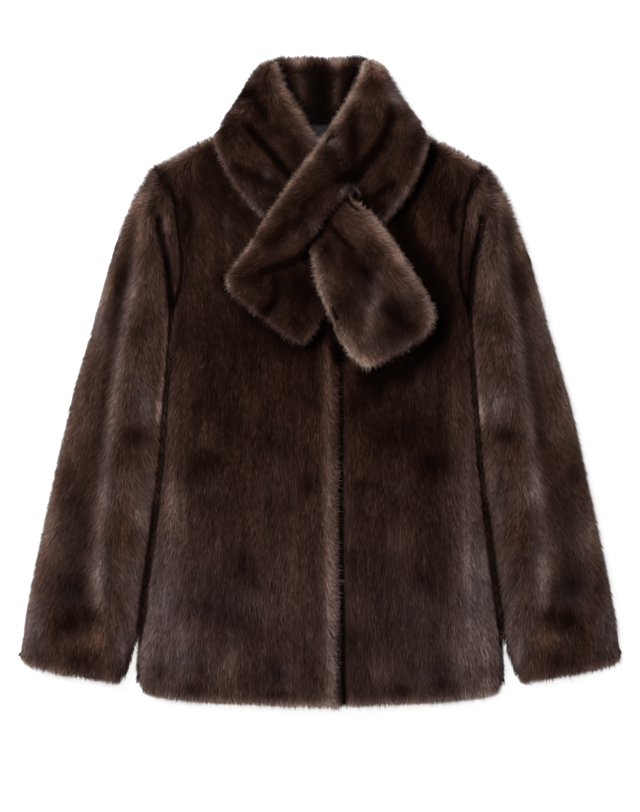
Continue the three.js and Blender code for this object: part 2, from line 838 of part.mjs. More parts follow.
/** Upper or under half of a sleeve; hand is -1 at the picture's left and 1 at its right. */
function sleevePanel(hand, isUpper) {
  const { outer, inner, places } = sleeveEdges(hand);
  const outerEdge = isUpper ? edge(SLEEVE_ROUND, 0, 0) : edge(SLEEVE_ROUND, 1, 1);
  const innerEdge = isUpper
    ? sideEdge(SLEEVE_ROUND, SEAM_DIP, 0, 0, 0)
    : sideEdge(SLEEVE_ROUND, 1, 0, 1, 1);
  const lift = (x, y, distances) => {
    const edgeDistance = Math.min(distances.a, distances.b);
    const fullness = smooth(edgeDistance, 0, SLEEVE_CROWN_REACH);
    return SLEEVE_CROWN * fullness + foldRise(SLEEVE_FOLDS, Math.abs(x), y);
  };
  return panelGeometry({
    plan: hand < 0 ? new Plan(outer, inner) : new Plan(inner, outer),
    edges: {
      a: hand < 0 ? outerEdge : innerEdge,
      b: hand < 0 ? innerEdge : outerEdge,
      start: edge(HEM_ROUND, 0.5, 0.5),
      end: isUpper ? edge(SLEEVE_TOP_ROUND, 0, 0) : edge(SLEEVE_TOP_ROUND, 1, 1),
    },
    corners: { startA: CUFF_CORNER, startB: CUFF_CORNER },
    columns: roundedColumns(SLEEVE_ROUND, SLEEVE_ROUND, isUpper ? 6 : 1),
    places,
    under: () => (isUpper ? SEAM_LEVEL : 0),
    depth: (x, y, side, distances) =>
      isUpper ? SLEEVE_DEPTH + lift(x, y, distances) : LOWER_DEPTH,
  });
}

/** Collar behind the neck, seen from inside between the two bands. */
function collarBack() {
  const gap = (rows) => rows.map(({ x, y }) => ({ x, y: y + NECK_SEAM_GAP }));
  const seam = gap([...mirrored(BACK_NECK), ...backwards(BACK_NECK).slice(1)]);
  const top = [...mirrored(COLLAR_TOP), ...backwards(COLLAR_TOP).slice(1)];
  const side = gap(COLLAR_SIDE);
  const foot = [...mirrored(side.slice(0, 1)), ...seam, side[0]];
  const plan = new Plan(curveThrough(mirrored(side)), curveThrough(side), foot, top);
  return panelGeometry({
    plan,
    edges: { a: BAND_RIM, b: BAND_RIM, start: edge(COLLAR_ROUND, 1, 0), end: BAND_RIM },
    corners: { endA: COLLAR_TOP_CORNER, endB: COLLAR_TOP_CORNER },
    columns: roundedColumns(COLLAR_ROUND, COLLAR_ROUND, 8),
    places: rowPlaces(plan, COLLAR_ROUND, 4),
    under: () => 0,
    depth: () => COLLAR_BACK_DEPTH,
  });
}

/** Lining on the inside of the back, below the collar seam. */
function neckLining() {
  const rows = (xName, yName) => curveThrough(edgeOf(NECK_LINING, xName, yName));
  const plan = new Plan(rows("inX", "inY"), rows("outX", "outY"), LINING_FOOT, LINING_HEAD);
  const rim = edge(LINING_DEPTH, 0.4, 0);
  return panelGeometry({
    plan,
    edges: { a: rim, b: rim, start: rim, end: rim },
    corners: {},
    columns: roundedColumns(LINING_DEPTH, LINING_DEPTH, 4),
    places: rowPlaces(plan, LINING_DEPTH, 3),
    under: () => SEAM_LEVEL,
    depth: () => LINING_DEPTH,
  });
}

const BAND_RIM = edge(COLLAR_ROUND, 0.5, 0.5);
const BAND_EDGES = { a: BAND_RIM, b: BAND_RIM, start: BAND_RIM, end: BAND_RIM };

function edgeOf(rows, xName, yName) {
  return rows.map((row) => ({ x: row[xName], y: row[yName] }));
}

/** Strip whose far end comes up through the slit; the covers say on what each stretch lies. */
function collarStrip(lowCover, highCover) {
  const plan = new Plan(
    curveThrough(edgeOf(STRIP, "outX", "outY")),
    curveThrough(edgeOf(STRIP, "inX", "inY")),
  );
  const slitAt = plan.distanceAt(STRIP_SLIT_ROW / (STRIP.length - 1));
  const climb = (s) =>
    FIRST_CLIMB * smooth(s, slitAt - FIRST_CLIMB_LENGTH, slitAt)
    + (1 - FIRST_CLIMB) * smooth(s, slitAt - CLIMB_LEAD, slitAt + CLIMB_TAIL);
  const squeeze = (s) => Math.exp(-(((s - slitAt) / SQUEEZE_LENGTH) ** 2));
  return {
    plan,
    geometry: panelGeometry({
      plan,
      edges: BAND_EDGES,
      corners: {
        startA: OUTER_END_CORNER,
        startB: INNER_END_CORNER,
        endA: TAIL_CORNER,
        endB: TAIL_CORNER,
      },
      columns: roundedColumns(COLLAR_ROUND, COLLAR_ROUND, 7),
      places: rowPlaces(plan, COLLAR_ROUND, 26),
      under: (x, y, side, distances) => {
        const level = lerp(lowCover(x, y), highCover(x, y), climb(distances.start));
        return level + SEAM_GAP;
      },
      depth: (x, y, side, distances) => {
        const full = lerp(BAND_DEPTH, STRIP_DEPTH_IN_SLIT, squeeze(distances.start));
        return full + foldRise(STRIP_FOLDS, x, y);
      },
    }),
  };
}

/** Upper band with its slit: the left lip lies on the strip, the right lip under it. */
function collarBand(leftCover, rightCover) {
  const plan = new Plan(
    curveThrough(edgeOf(BAND, "inX", "inY")),
    curveThrough(edgeOf(BAND, "outX", "outY")),
  );
  const pastSlit = (s) => smooth(s, SLIT_START - LIP_DIP_LENGTH, SLIT_START);
  const nearSlit = ({ a, b, start }) => {
    const across = Math.abs(a - SLIT_SHARE * (a + b));
    const beyond = smooth(start, SLIT_END + PRESSED_END, SLIT_END + PRESSED_FADE);
    return (1 - smooth(across, PRESSED_FROM, PRESSED_TO)) * (1 - beyond);
  };
  const slitEdge = edge(SLIT_LIP, 0.3, 0.3);
  return panelGeometry({
    plan,
    edges: BAND_EDGES,
    corners: {
      startA: INNER_END_CORNER,
      startB: OUTER_END_CORNER,
      endA: BAND_CORNER,
      endB: BAND_CORNER,
    },
    columns: roundedColumns(COLLAR_ROUND, COLLAR_ROUND, 7),
    places: rowPlaces(plan, COLLAR_ROUND, 24),
    under: (x, y, side, distances) => {
      const share = side === "right" ? pastSlit(distances.start) : 0;
      return lerp(leftCover(x, y), rightCover(x, y), share) + SEAM_GAP;
    },
    depth: (x, y, side, distances) => {
      const pressed = side === "right" ? pastSlit(distances.start) * nearSlit(distances) : 0;
      return lerp(BAND_DEPTH, PRESSED_DEPTH, pressed) + foldRise(BAND_FOLDS, x, y);
    },
    slit: { share: SLIT_SHARE, column: SLIT_COLUMN, from: SLIT_START, to: SLIT_END, edge: slitEdge },
  });
}

/** All layers of the collar, each laid on what is already there. */
function collarLayers(laid) {
  const pile = new Pile(PILE_BOX, PILE_CELL);
  laid.forEach((geometry) => pile.add(geometry));
  const body = pile.cover(BODY_BRIDGE, BODY_BRIDGE / 2);
  const topped = (geometry, counts) => {
    const cover = pile.copy().add(geometry, counts).cover(LAYER_BRIDGE, LAYER_BRIDGE / 2);
    return (x, y) => Math.max(body(x, y), cover(x, y));
  };
  const draft = collarStrip(body, body);
  const slitLine = draft.plan.a.getPoint(STRIP_SLIT_ROW / (STRIP.length - 1));
  const slitTop = draft.plan.b.getPoint(STRIP_SLIT_ROW / (STRIP.length - 1));
  const beforeSlit = (x, y) => {
    const along = slitTop.clone().sub(slitLine);
    return along.x * (y - slitLine.y) - along.y * (x - slitLine.x) > 0;
  };
  let strip;
  let band;
  let high = (x, y) => body(x, y) + BAND_DEPTH;
  for (let round = 0; round < SETTLING_ROUNDS; round += 1) {
    strip = collarStrip(body, high).geometry;
    band = collarBand(topped(strip, beforeSlit), body);
    high = topped(band, (x, y) => !beforeSlit(x, y));
  }
  return { band, strip };
}

const FUR = { color: 0x3b2a23, roughness: 0.72, metalness: 0 };
const FUR_UNDER = { color: 0x34251f, roughness: 0.75, metalness: 0 };
const FUR_COLLAR = { color: 0x45322a, roughness: 0.7, metalness: 0 };
const SATIN = { color: 0x26252a, roughness: 0.45, metalness: 0 };

function piece(name, geometry, finish) {
  const mesh = new THREE.Mesh(geometry, new THREE.MeshStandardMaterial(finish));
  mesh.name = name;
  return mesh;
}

function buildCoat() {
  const back = backPanel();
  const right = lapFront();
  const left = underFront();
  const collar = collarBack();
  const lining = neckLining();
  const { band, strip } = collarLayers([back, right, left, collar, lining]);

  const coat = new THREE.Group();
  coat.add(piece("back_panel", back, FUR_UNDER));
  coat.add(piece("front_right", right, FUR));
  coat.add(piece("front_left", left, FUR));
  for (const [word, hand] of [["right", -1], ["left", 1]]) {
    coat.add(piece(`sleeve_${word}_under`, sleevePanel(hand, false), FUR_UNDER));
    coat.add(piece(`sleeve_${word}_top`, sleevePanel(hand, true), FUR));
  }
  coat.add(piece("collar_back", collar, FUR_COLLAR));
  coat.add(piece("neck_lining", lining, SATIN));
  coat.add(piece("collar_strip_tail", strip, FUR_COLLAR));
  coat.add(piece("collar_band_slit", band, FUR_COLLAR));

  const box = new THREE.Box3().setFromObject(coat);
  const centre = box.getCenter(new THREE.Vector3());
  coat.position.set(-centre.x, -centre.y, -box.min.z);
  coat.updateMatrixWorld(true);
  return coat;
}

export default buildCoat();
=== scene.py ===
import math

import bmesh
import bpy
import numpy as np
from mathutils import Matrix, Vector
from mathutils.bvhtree import BVHTree
from mathutils.kdtree import KDTree


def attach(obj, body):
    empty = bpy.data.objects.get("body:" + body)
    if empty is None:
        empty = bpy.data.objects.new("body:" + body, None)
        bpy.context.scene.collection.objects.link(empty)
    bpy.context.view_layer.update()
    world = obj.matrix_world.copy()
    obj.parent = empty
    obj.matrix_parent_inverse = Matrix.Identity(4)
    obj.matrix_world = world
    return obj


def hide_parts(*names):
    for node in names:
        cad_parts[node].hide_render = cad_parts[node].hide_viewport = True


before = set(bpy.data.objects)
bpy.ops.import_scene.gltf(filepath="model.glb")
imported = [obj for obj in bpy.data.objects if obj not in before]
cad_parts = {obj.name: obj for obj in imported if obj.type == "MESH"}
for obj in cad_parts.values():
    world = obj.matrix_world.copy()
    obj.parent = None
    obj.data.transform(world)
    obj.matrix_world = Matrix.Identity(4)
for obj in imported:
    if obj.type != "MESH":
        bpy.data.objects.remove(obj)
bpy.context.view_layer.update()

# Fur coat laid flat on its back: a skin under each panel's fur, and the fur as tapered hairs.
# Tables are in millimetres and Blender objects in metres.
MM = 0.001

# Skin below the fur's top: how deep it lies, at most as a share of the solid, and its relief
INSET_TOP = 5.5 * MM
THIN_SHARE = 0.45
DENT = 1.1 * MM
FINE_DENT = 0.6
FOLD_DEPTH = 11 * MM
FOLD_RANGE = (-0.45, 0.3)

# Skin beside the fur's rim: millimetres inside the outline, more where the hair lies towards it
AHEAD_INSET = 4
GAP_INSET = 2
EDGE_WAVE = 1.1
SHOULDER_EASE = 0.6

# Where a side is joined to its neighbour, and where hem and sleeve stand apart
SIDES_FROM = 120 * MM
SEAM_NEAR = 6 * MM
SEAM_FAR = 40 * MM
SEAM_PUSH = 1.6 * MM
SEAMS_ABOVE = -296 * MM
GAP_NEAR = 1.5 * MM
GAP_WITHIN = 300 * MM
SHOULDER_FROM = 140 * MM
SHOULDER_RISE = (190, 220)

# What counts as covered by another panel, and how far the hair goes on under it
COVER_ABOVE = 100 * MM
COVER_BESIDE = 12 * MM
COVER_LIFT = 0.15
FREE_SIDE = 0.4
FREE_RIM = 0.5
COVERED_MARGIN = 14 * MM

# Upward part of a normal: from side to top, from slope to flat top, and on the underside
TOP_RISE = (0.05, 0.7)
FLAT_RISE = (0.4, 0.9)
FACET_RISE = (0.3, 0.7)
TOP_SIDE = 0.5
UNDERSIDE = -0.75
BARE_BELOW = (-0.85, -0.35)
RIM_WALL = 0.75

# Level part of a normal: what counts as a side, and how steep a rounded outline is
SIDE_LEVEL = 0.2
FLAT_LEVEL = 0.5
OUTLINE_LEVEL = (0.1, 0.6)

# Rounds of softening
FACET_ROUNDS = 8
CORNER_ROUNDS = 12
FREE_ROUNDS = 3
LEVEL_ROUNDS = 4
INSET_ROUNDS = 2
RIM_ROUNDS = 2

# Hair: its shape, how it gathers in tufts, and how it differs at a rim
LIFT = math.radians(17)
LIFT_SPREAD = 0.08
ROLL = math.radians(14)
HAIR_WIDTH = 0.75 * MM
WIDTHS = (0.7, 1.2)
LENGTHS = (0.75, 1.15)
SWING = 0.06
TUFT_SIZE = 6
TUFT = 0.1
RIM_TUFT = 0.15
RIM_REACH = 8 * MM
RIM_TIPS = 4.5 * MM
RIM_NARROWER = 0.3
FAN_LIMIT = 0.9
HELD_RISE = (0.2, 0.8)
ROLL_UP = 0.3
RIM_SHORTER = -0.48
SPIKE_SHORTER = -0.1
SPIKES = 0.08
LOWEST = 0.3 * MM

# Shade of the hair: contrast around a middle tone, roots darkened as painted shade, spread from
# tuft to tuft and hair to hair, and painted glints, sheen and rim tip highlights
CONTRAST = 1.3
MIDDLE_TONE = 0.4
ROOT_SHADE = 0.55
TIP_TONE = 1.1
TIP_BASE = 0.01
TUFT_JITTER = 0.04
HAIR_JITTER = 0.075
SILVER_SHEEN_CALM = 0.5
SILVER_SHEEN_JITTER = 0.06
GLINT_HAIRS = 0.04
GLINT_TONE = 0.12
RIM_SHEEN = 2
RIM_HIGHLIGHT = 0.6
SPIKE_HIGHLIGHT = 1.6
SHADES = (0.02, 0.98)

# Cells of a noise's lattice before it repeats, and how sharply a route's nearest stretch wins
LATTICE = 64
NEAR_REACH, NEAR_POWER = 4, 4

rng = np.random.default_rng(81)


def smooth(value, start, end):
    """0 before start, 1 after end, and a soft step between them."""
    share = np.clip((value - start) / (end - start), 0, 1)
    return share * share * (3 - 2 * share)


def noise(x, y, size_x, size_y, seed):
    """Soft random field from -1 to 1 with cells of the given size."""
    lattice = np.random.default_rng(seed).uniform(-1, 1, (LATTICE, LATTICE))
    u = x / size_x + 20.3
    v = y / size_y + 11.7
    i = np.floor(u).astype(int)
    j = np.floor(v).astype(int)
    a = smooth(u - i, 0, 1)
    b = smooth(v - j, 0, 1)

    def at(di, dj):
        return lattice[(i + di) % LATTICE, (j + dj) % LATTICE]

    low = at(0, 0) * (1 - a) + at(1, 0) * a
    high = at(0, 1) * (1 - a) + at(1, 1) * a
    return low * (1 - b) + high * b


def unit(vectors):
    return vectors / np.maximum(np.linalg.norm(vectors, axis=-1, keepdims=True), 1e-12)


def spots(table, x, y):
    """Sum of soft round spots: middle x, y, half width, half height and strength."""
    total = np.zeros_like(x)
    for mid_x, mid_y, half_x, half_y, strength in table:
        away = ((x - mid_x) / half_x) ** 2 + ((y - mid_y) / half_y) ** 2
        total += strength * np.exp(-away)
    return total


def lines(table, x, y):
    """Sum of soft lines: a route, its half width and its strength."""
    total = np.zeros_like(x)
    place = np.stack([x, y], 1)
    for route, half, strength in table:
        nearest = np.full_like(x, np.inf)
        for start, end in zip(np.array(route[:-1], float), np.array(route[1:], float)):
            step = end - start
            t = np.clip((place - start) @ step / (step @ step), 0, 1)
            away = np.linalg.norm(place - start - t[:, None] * step, axis=1)
            nearest = np.minimum(nearest, away)
        total += strength * np.exp(-((nearest / half) ** 2))
    return total


def along_line(line, x, y):
    """Direction along a route near each place, and how far to its side the place lies."""
    points = np.array(line, float)
    steps = points[1:] - points[:-1]
    lengths = np.linalg.norm(steps, axis=1)
    weight_sum = np.zeros_like(x)
    direction = np.zeros((len(x), 2))
    nearest = np.full_like(x, np.inf)
    side = np.zeros_like(x)
    for start, step, length in zip(points[:-1], steps, lengths):
        away = np.stack([x, y], 1) - start
        t = np.clip(away @ step / length**2, 0, 1)
        off = away - t[:, None] * step
        distance = np.linalg.norm(off, axis=1)
        weight = 1 / (distance + NEAR_REACH) ** NEAR_POWER
        direction += weight[:, None] * step / length
        weight_sum += weight
        closer = distance < nearest
        nearest = np.where(closer, distance, nearest)
        turn = (step[0] * away[:, 1] - step[1] * away[:, 0]) / length
        side = np.where(closer, turn, side)
    return unit(direction / weight_sum[:, None]), side


# Middle lines of the two collar bands, and ridge of a sleeve, mirrored
STRIP_LINE = [
    (-71, 384), (-75, 357), (-77, 339), (-81, 320), (-73, 302), (-56, 272), (-40, 247),
    (-22, 225), (-1, 206), (14, 194), (25, 176), (39, 148), (57, 113), (76, 79), (95, 40),
]
BAND_LINE = [
    (71, 384), (74, 359), (78, 343), (80, 319), (73, 297), (56, 266), (40, 241), (21, 217),
    (1, 187), (-23, 153), (-41, 125), (-68, 78),
]
RIDGE = [
    (212, 235), (217, 220), (221, 190), (225, 150), (229, 118), (235, 90), (241, 60), (245, 35),
    (250, 0), (254, -40), (259, -80), (265, -120), (270, -150), (273, -200), (275, -240),
    (272, -300), (270, -360),
]

# Line where body and sleeve meet below the armpit
ARMPIT_Y = 85
EDGE_TOP = 178
EDGE_LEAN = 0.104

# Flow of the hair: how much it goes sideways for each step down, and how far that reaches
CHEST_INWARD = 0.45
SIDE_OUTWARD = 0.12
SEAM_OUTWARD = 0.75
HEM_LESS = 0.5
SEAM_FADE = 14
INNER_PARTING = 0.55
OUTER_PARTING = 0.15
OUTER_MORE = 0.4
RIDGE_HALF = 6
NECK_INWARD = 0.8
NECK_DOWN = 1.1
COAT_WOBBLE = 0.07
COLLAR_WOBBLE = 0.2


def edge_distance(x, y):
    """Distance in from the line where body and sleeve meet below the armpit, plus on the body."""
    return EDGE_TOP + EDGE_LEAN * (ARMPIT_Y - y) - np.abs(x)


def body_flow(x, y):
    """Down the front, inward on the chest and outward beside the sleeves."""
    side = np.sign(x)
    chest = smooth(np.abs(x), 20, 90) * (1 - smooth(np.abs(x), 140, 175))
    inward = CHEST_INWARD * smooth(y, 20, 150) * chest
    below = smooth(-y, -ARMPIT_Y, -20)
    beside = SEAM_OUTWARD - HEM_LESS * smooth(-y, 270, 310)
    beside = beside * np.exp(-np.abs(edge_distance(x, y)) / SEAM_FADE)
    outward = below * (SIDE_OUTWARD * smooth(np.abs(x), 60, 190) + beside)
    wobble = COAT_WOBBLE * noise(x, y, 24, 50, 3)
    return np.stack([side * (outward - inward) + wobble, -np.ones_like(x)], 1)


def sleeve_flow(x, y):
    """Down the sleeve, parting at its ridge."""
    side = np.sign(x)
    flow, off = along_line(RIDGE, np.abs(x), y)
    inner = INNER_PARTING * np.tanh((off + 22) / 13)
    outer = OUTER_PARTING + OUTER_MORE * smooth(off, 20, 60)
    past = outer + (inner - outer) * np.exp(-(off - RIDGE_HALF) / RIDGE_HALF)
    parting = np.where(off < RIDGE_HALF, inner, past) * smooth(y, -360, -250)
    across = np.stack([-flow[:, 1], flow[:, 0]], 1)
    flow = flow + across * parting[:, None]
    flow[:, 0] = side * flow[:, 0] + COAT_WOBBLE * noise(x, y, 24, 50, 5)
    return flow


def line_flow(line):
    """Flow along a collar band's middle line."""
    def flow(x, y):
        direction, _ = along_line(line, x, y)
        wobble = np.stack([noise(x, y, 24, 24, 7), noise(x, y, 24, 24, 8)], 1)
        return direction + COLLAR_WOBBLE * wobble

    return flow


def neck_flow(x, y):
    """Down towards the middle seam, and upward over the top edge."""
    upward = smooth(y, 368, 380)
    inward = -NECK_INWARD * np.tanh((x + 2) / 10) * (1 - upward)
    return np.stack([inward, 2 * NECK_DOWN * upward - NECK_DOWN], 1)


# Painted shade and painted highlight lines: route, half width and strength. Spots: middle x, y,
# half width, half height and strength. Shade lines are dark and also dent the skin; those of the
# side and sleeve are mirrored.
# Painted shade in the seam grooves and creases where body and sleeve meet
SIDE_CREASE_SHADE = [
    ([(188, 244), (181, 234)], 1.7, -0.2),
    ([(181, 234), (174, 214), (172, 196), (169, 174), (167, 150), (167, 128), (170, 110),
      (178, 88)], 1.7, -0.42),
    ([(194, 195), (193, 184), (189, 165), (184, 146), (181, 120), (179, 90)], 3.4, -0.42),
    ([(163, 216), (158, 203), (157, 192), (162, 180)], 4, -0.22),
    ([(179, 88), (181, 50), (184, 10), (188, -40), (192, -100), (198, -150)], 1.6, -0.75),
    ([(198, -150), (204, -200), (211, -250), (217, -296)], 2.2, -0.85),
    ([(217, -296), (219, -316)], 2, -0.4),
]

# Painted highlight along the sleeve's ridge, and painted shade in the valley beside it and towards
# the cuff
SLEEVE_RIDGE_HIGHLIGHT_AND_SHADE = [
    ([(217, 222), (220, 190), (224, 150), (227, 118), (232, 90), (238, 60), (242, 35), (247, 0),
      (251, -40), (256, -80), (261, -120), (265, -150), (267, -200), (269, -240), (267, -268)],
      8.5, 0.12),
    ([(226, 205), (229, 170), (233, 140), (239, 110), (246, 75), (251, 45), (256, 10), (261, -30),
      (267, -75)], 7, -0.14),
    ([(270, -85), (277, -120), (285, -160), (292, -200), (298, -240)], 14, -0.09),
]
# Painted highlights on the sleeve's inner edge, shoulder, outer rim and cuff
SLEEVE_HIGHLIGHTS = [
    ([(181, 72), (184, 25), (190, -20), (194, -50)], 4, 0.14),
    ([(200, -95), (207, -150), (214, -205), (221, -250), (228, -290), (238, -335)], 7, 0.05),
    ([(200, 258), (214, 240), (232, 205)], 7, 0.05),
    ([(232, 205), (254, 160), (268, 100), (286, 50), (303, -20), (321, -90), (336, -160),
      (349, -220), (359, -280), (363, -330)], 10, 0.15),
    ([(360, -340), (330, -347), (300, -355), (270, -363), (240, -366)], 6, 0.18),
]
# Dark and light blotches of the sleeve's fur, with a small painted highlight on its inner edge
SLEEVE_SPOTS = [
    (200, 238, 18, 14, -0.02), (185, 190, 8, 13, 0.1), (203, 204, 9, 9, -0.07),
    (180, 235, 7, 12, -0.06), (175, 150, 8, 60, -0.08), (205, 74, 14, 13, -0.08),
    (222, 55, 12, 12, -0.05), (223, -66, 16, 10, -0.15), (232, -92, 22, 12, -0.05),
    (212, -28, 15, 17, 0.06), (192, -33, 4, 10, 0.1), (254, -138, 13, 20, 0.05),
    (215, -165, 6, 14, 0.05), (266, -240, 9, 24, 0.04), (240, -190, 18, 26, -0.03),
    (235, -130, 11, 26, 0.04), (300, -250, 24, 18, -0.09), (302, -288, 15, 16, -0.17),
    (276, -282, 14, 12, -0.11), (287, -335, 20, 12, -0.1), (318, -308, 9, 18, -0.05),
    (272, -310, 11, 9, 0.05), (330, -290, 6, 22, -0.02), (348, -296, 10, 24, 0.04),
    (305, -112, 12, 13, -0.06), (296, -150, 12, 18, -0.05), (325, -185, 10, 32, 0.06),
    (238, 130, 9, 14, -0.08), (266, 70, 9, 24, 0.05), (240, -322, 7, 26, 0.05),
    (262, -330, 8, 10, -0.02), (200, 120, 9, 30, 0.04), (295, -60, 9, 30, 0.04),
    (245, 110, 5, 10, -0.06),
]
# Painted silvery sheen on the sleeve's ridges and lobes; negative strengths take it away
SLEEVE_SHEEN = [
    (258, -110, 10, 70, 0.55), (262, -230, 12, 40, 0.6), (245, 20, 8, 60, 0.4),
    (230, 110, 8, 60, 0.4), (212, -30, 18, 22, 0.6), (210, -150, 9, 50, 0.45),
    (224, -260, 10, 60, 0.5), (240, -325, 10, 30, 0.6), (346, -300, 14, 40, 0.7),
    (300, -190, 22, 60, 0.4), (268, 65, 14, 40, 0.4), (300, -255, 20, 20, 0.4),
    (240, -190, 16, 24, -0.4), (232, -92, 20, 14, -0.3), (320, -300, 10, 20, -0.3),
    (272, -312, 14, 14, -0.4),
]

# Painted shadows cast by the collar's rims onto the body; they also dent its skin
BODY_COLLAR_SHADOWS = [
    ([(135, 275), (124, 255), (113, 236), (103, 218), (93, 203)], 7, -0.32),
    ([(97, 190), (108, 166), (122, 142), (136, 120), (147, 97), (150, 76), (143, 50), (124, 29),
      (98, 12), (76, 6), (54, 4)], 9, -0.48),
    ([(-118, 122), (-100, 100), (-80, 80), (-60, 62), (-42, 47), (-28, 39), (-10, 42), (0, 52)],
      9, -0.2),
    ([(0, 60), (10, 66), (16, 48), (22, 28)], 8, -0.36),
    ([(-135, 278), (-122, 250), (-110, 230), (-95, 208), (-78, 193)], 7, -0.1),
]
# Dark and light blotches of the body's fur, with painted shadows below the collar's tail and beside
# the band's lower end, and painted shade near the collar's sides
BODY_SPOTS = [
    (-135, 235, 24, 26, -0.07), (138, 238, 26, 26, -0.07), (-150, 255, 12, 16, 0.05),
    (152, 250, 12, 16, 0.04), (-142, 195, 14, 36, 0.04), (122, 180, 14, 36, 0.04),
    (-100, 55, 28, 32, -0.06), (-15, 20, 18, 24, -0.04), (-80, 10, 12, 22, -0.04),
    (150, 100, 16, 50, -0.05), (-137, -95, 20, 12, -0.11), (-155, -115, 13, 8, -0.07),
    (-110, -62, 12, 18, -0.06), (-60, -70, 7, 20, -0.06), (-14, -126, 11, 10, -0.1),
    (-140, -145, 18, 13, -0.05), (-128, -130, 9, 7, 0.05), (-130, -240, 10, 14, -0.05),
    (-140, -270, 17, 11, -0.07), (-105, -284, 20, 14, -0.06), (-96, -215, 8, 15, -0.05),
    (-80, -230, 8, 18, -0.04), (-178, -150, 10, 50, 0.07), (-200, -300, 14, 26, 0.03),
    (-186, -350, 10, 8, -0.07), (-155, -370, 15, 6, -0.09), (-50, -354, 8, 12, -0.06),
    (-52, -378, 12, 5, -0.1), (-140, -343, 6, 5, -0.05), (-119, -345, 12, 10, 0.05),
    (-100, -330, 18, 22, 0.04), (-60, -290, 12, 36, 0.04), (-85, -150, 30, 30, 0.03),
    (-25, -200, 14, 60, 0.02), (70, -4, 7, 18, -0.16), (100, 8, 10, 12, -0.18),
    (56, -20, 20, 22, -0.06), (100, -66, 34, 22, -0.11), (137, -102, 22, 16, -0.15),
    (50, -126, 16, 8, -0.08), (92, -130, 6, 6, 0.07), (38, -214, 10, 12, -0.08),
    (126, -240, 14, 14, -0.07), (36, -310, 9, 12, -0.05), (96, -371, 15, 6, -0.09),
    (150, -366, 15, 8, -0.09), (75, -345, 13, 18, 0.05), (200, -350, 15, 10, -0.06),
    (122, -8, 18, 20, 0.05), (172, -190, 9, 60, 0.06), (90, -190, 20, 20, 0.04),
    (36, -160, 8, 30, 0.04), (160, -30, 10, 40, 0.04), (130, -345, 20, 12, -0.04),
    (-104, 221, 5, 4, 0.14), (-94, 212, 4, 5, 0.14), (-112, 190, 5, 9, 0.09),
    (-110, 158, 5, 7, 0.07),
]
# Painted silvery sheen on the body
BODY_SHEEN = [
    (-130, -135, 20, 14, 0.5), (-115, -265, 40, 34, 0.45), (-190, -260, 22, 60, 0.45),
    (190, -260, 24, 60, 0.45), (110, -280, 50, 50, 0.35), (180, -150, 12, 50, 0.35),
    (95, -130, 10, 10, 0.5), (-50, -350, 30, 14, 0.3), (130, -350, 50, 16, 0.35),
    (-165, -335, 40, 14, 0.4), (-110, 185, 10, 20, 0.5), (-125, 80, 14, 30, 0.3),
    (-45, -110, 20, 50, 0.25), (120, -5, 16, 20, 0.3),
]
# Painted highlights along the shoulders' rims
BODY_HIGHLIGHTS = [
    ([(118, 303), (133, 297), (150, 286), (172, 274), (193, 261)], 8, 0.3),
    ([(160, 270), (178, 256)], 9, 0.07),
]
# Painted highlight along the closing's edge
LAP_HIGHLIGHT = [
    ([(8, 60), (10, 0), (11, -100), (12, -200), (13, -300), (14, -385)], 10, 0.21),
]
# Painted shadow of the closing's edge on the front beneath it
UNDERLAP_SHADOW = [
    ([(21, 60), (23, 0), (24, -100), (25, -200), (27, -300), (28, -400)], 2.4, -0.5),
]

# Painted shade in the strip's folds; they also dent its skin
STRIP_FOLD_SHADE = [
    ([(-89, 347), (-85, 346), (-78, 335), (-70, 325), (-66, 317)], 5, -0.17),
    ([(-86, 305), (-72, 290), (-62, 278), (-52, 265), (-42, 252), (-34, 245)], 4.5, -0.22),
    ([(-102, 255), (-80, 245), (-65, 238), (-50, 232)], 6, -0.12),
    ([(12, 187), (20, 176), (29, 166), (40, 155)], 3, -0.14),
    ([(30, 150), (48, 138), (62, 122)], 8, -0.08),
    ([(82, 88), (96, 76), (106, 64)], 10, -0.14),
]
# Painted highlights on the strip's rims, its tail and a small curl
STRIP_HIGHLIGHTS = [
    ([(-52, 380), (-48, 365), (-40, 346), (-28, 326), (-14, 306), (-2, 292)], 6, 0.23),
    ([(-72, 392), (-84, 376), (-102, 348), (-122, 320), (-134, 294)], 7, 0.13),
    ([(-134, 288), (-121, 262), (-108, 238), (-93, 217), (-74, 198)], 5.5, 0.14),
    ([(46, 222), (62, 202), (73, 186), (87, 165), (103, 143), (120, 117), (133, 100), (140, 84)],
      10, 0.25),
    ([(70, 184), (96, 150)], 8, 0.08),
    ([(140, 78), (130, 58), (108, 43), (86, 30), (66, 20), (50, 18)], 7, 0.17),
    ([(50, 18), (38, 30), (23, 55), (12, 77), (3, 97), (-3, 112), (-6, 127), (-9, 148)], 8.5,
      0.27),
    ([(38, 34), (52, 22)], 9, 0.12),
    ([(70, 125), (65, 110), (71, 100), (62, 85), (58, 65), (55, 50)], 6, 0.2),
    ([(-98, 336), (-87, 338)], 1.8, 0.16),
]
# Painted highlights near the strip's top and as small glints, and darker patches of painted shade
STRIP_SPOTS = [
    (-62, 385, 16, 8, 0.24), (-90, 348, 10, 5, -0.08), (-118, 295, 5, 13, -0.09),
    (-55, 303, 15, 6, -0.08), (-88, 303, 8, 8, -0.07), (-30, 278, 12, 13, -0.09),
    (-55, 215, 12, 8, -0.09), (-96, 325, 3, 3, 0.2), (-105, 326, 6, 4, 0.08),
    (-62, 245, 5, 6, 0.12), (32, 134, 12, 8, -0.08), (86, 55, 12, 8, -0.1),
    (106, 90, 10, 8, -0.06), (100, 115, 14, 11, 0.05), (10, 115, 8, 18, 0.05),
    (45, 185, 14, 14, 0.03), (-100, 272, 12, 12, 0.02), (-35, 235, 8, 8, -0.06),
    (10, 160, 8, 10, -0.06),
]
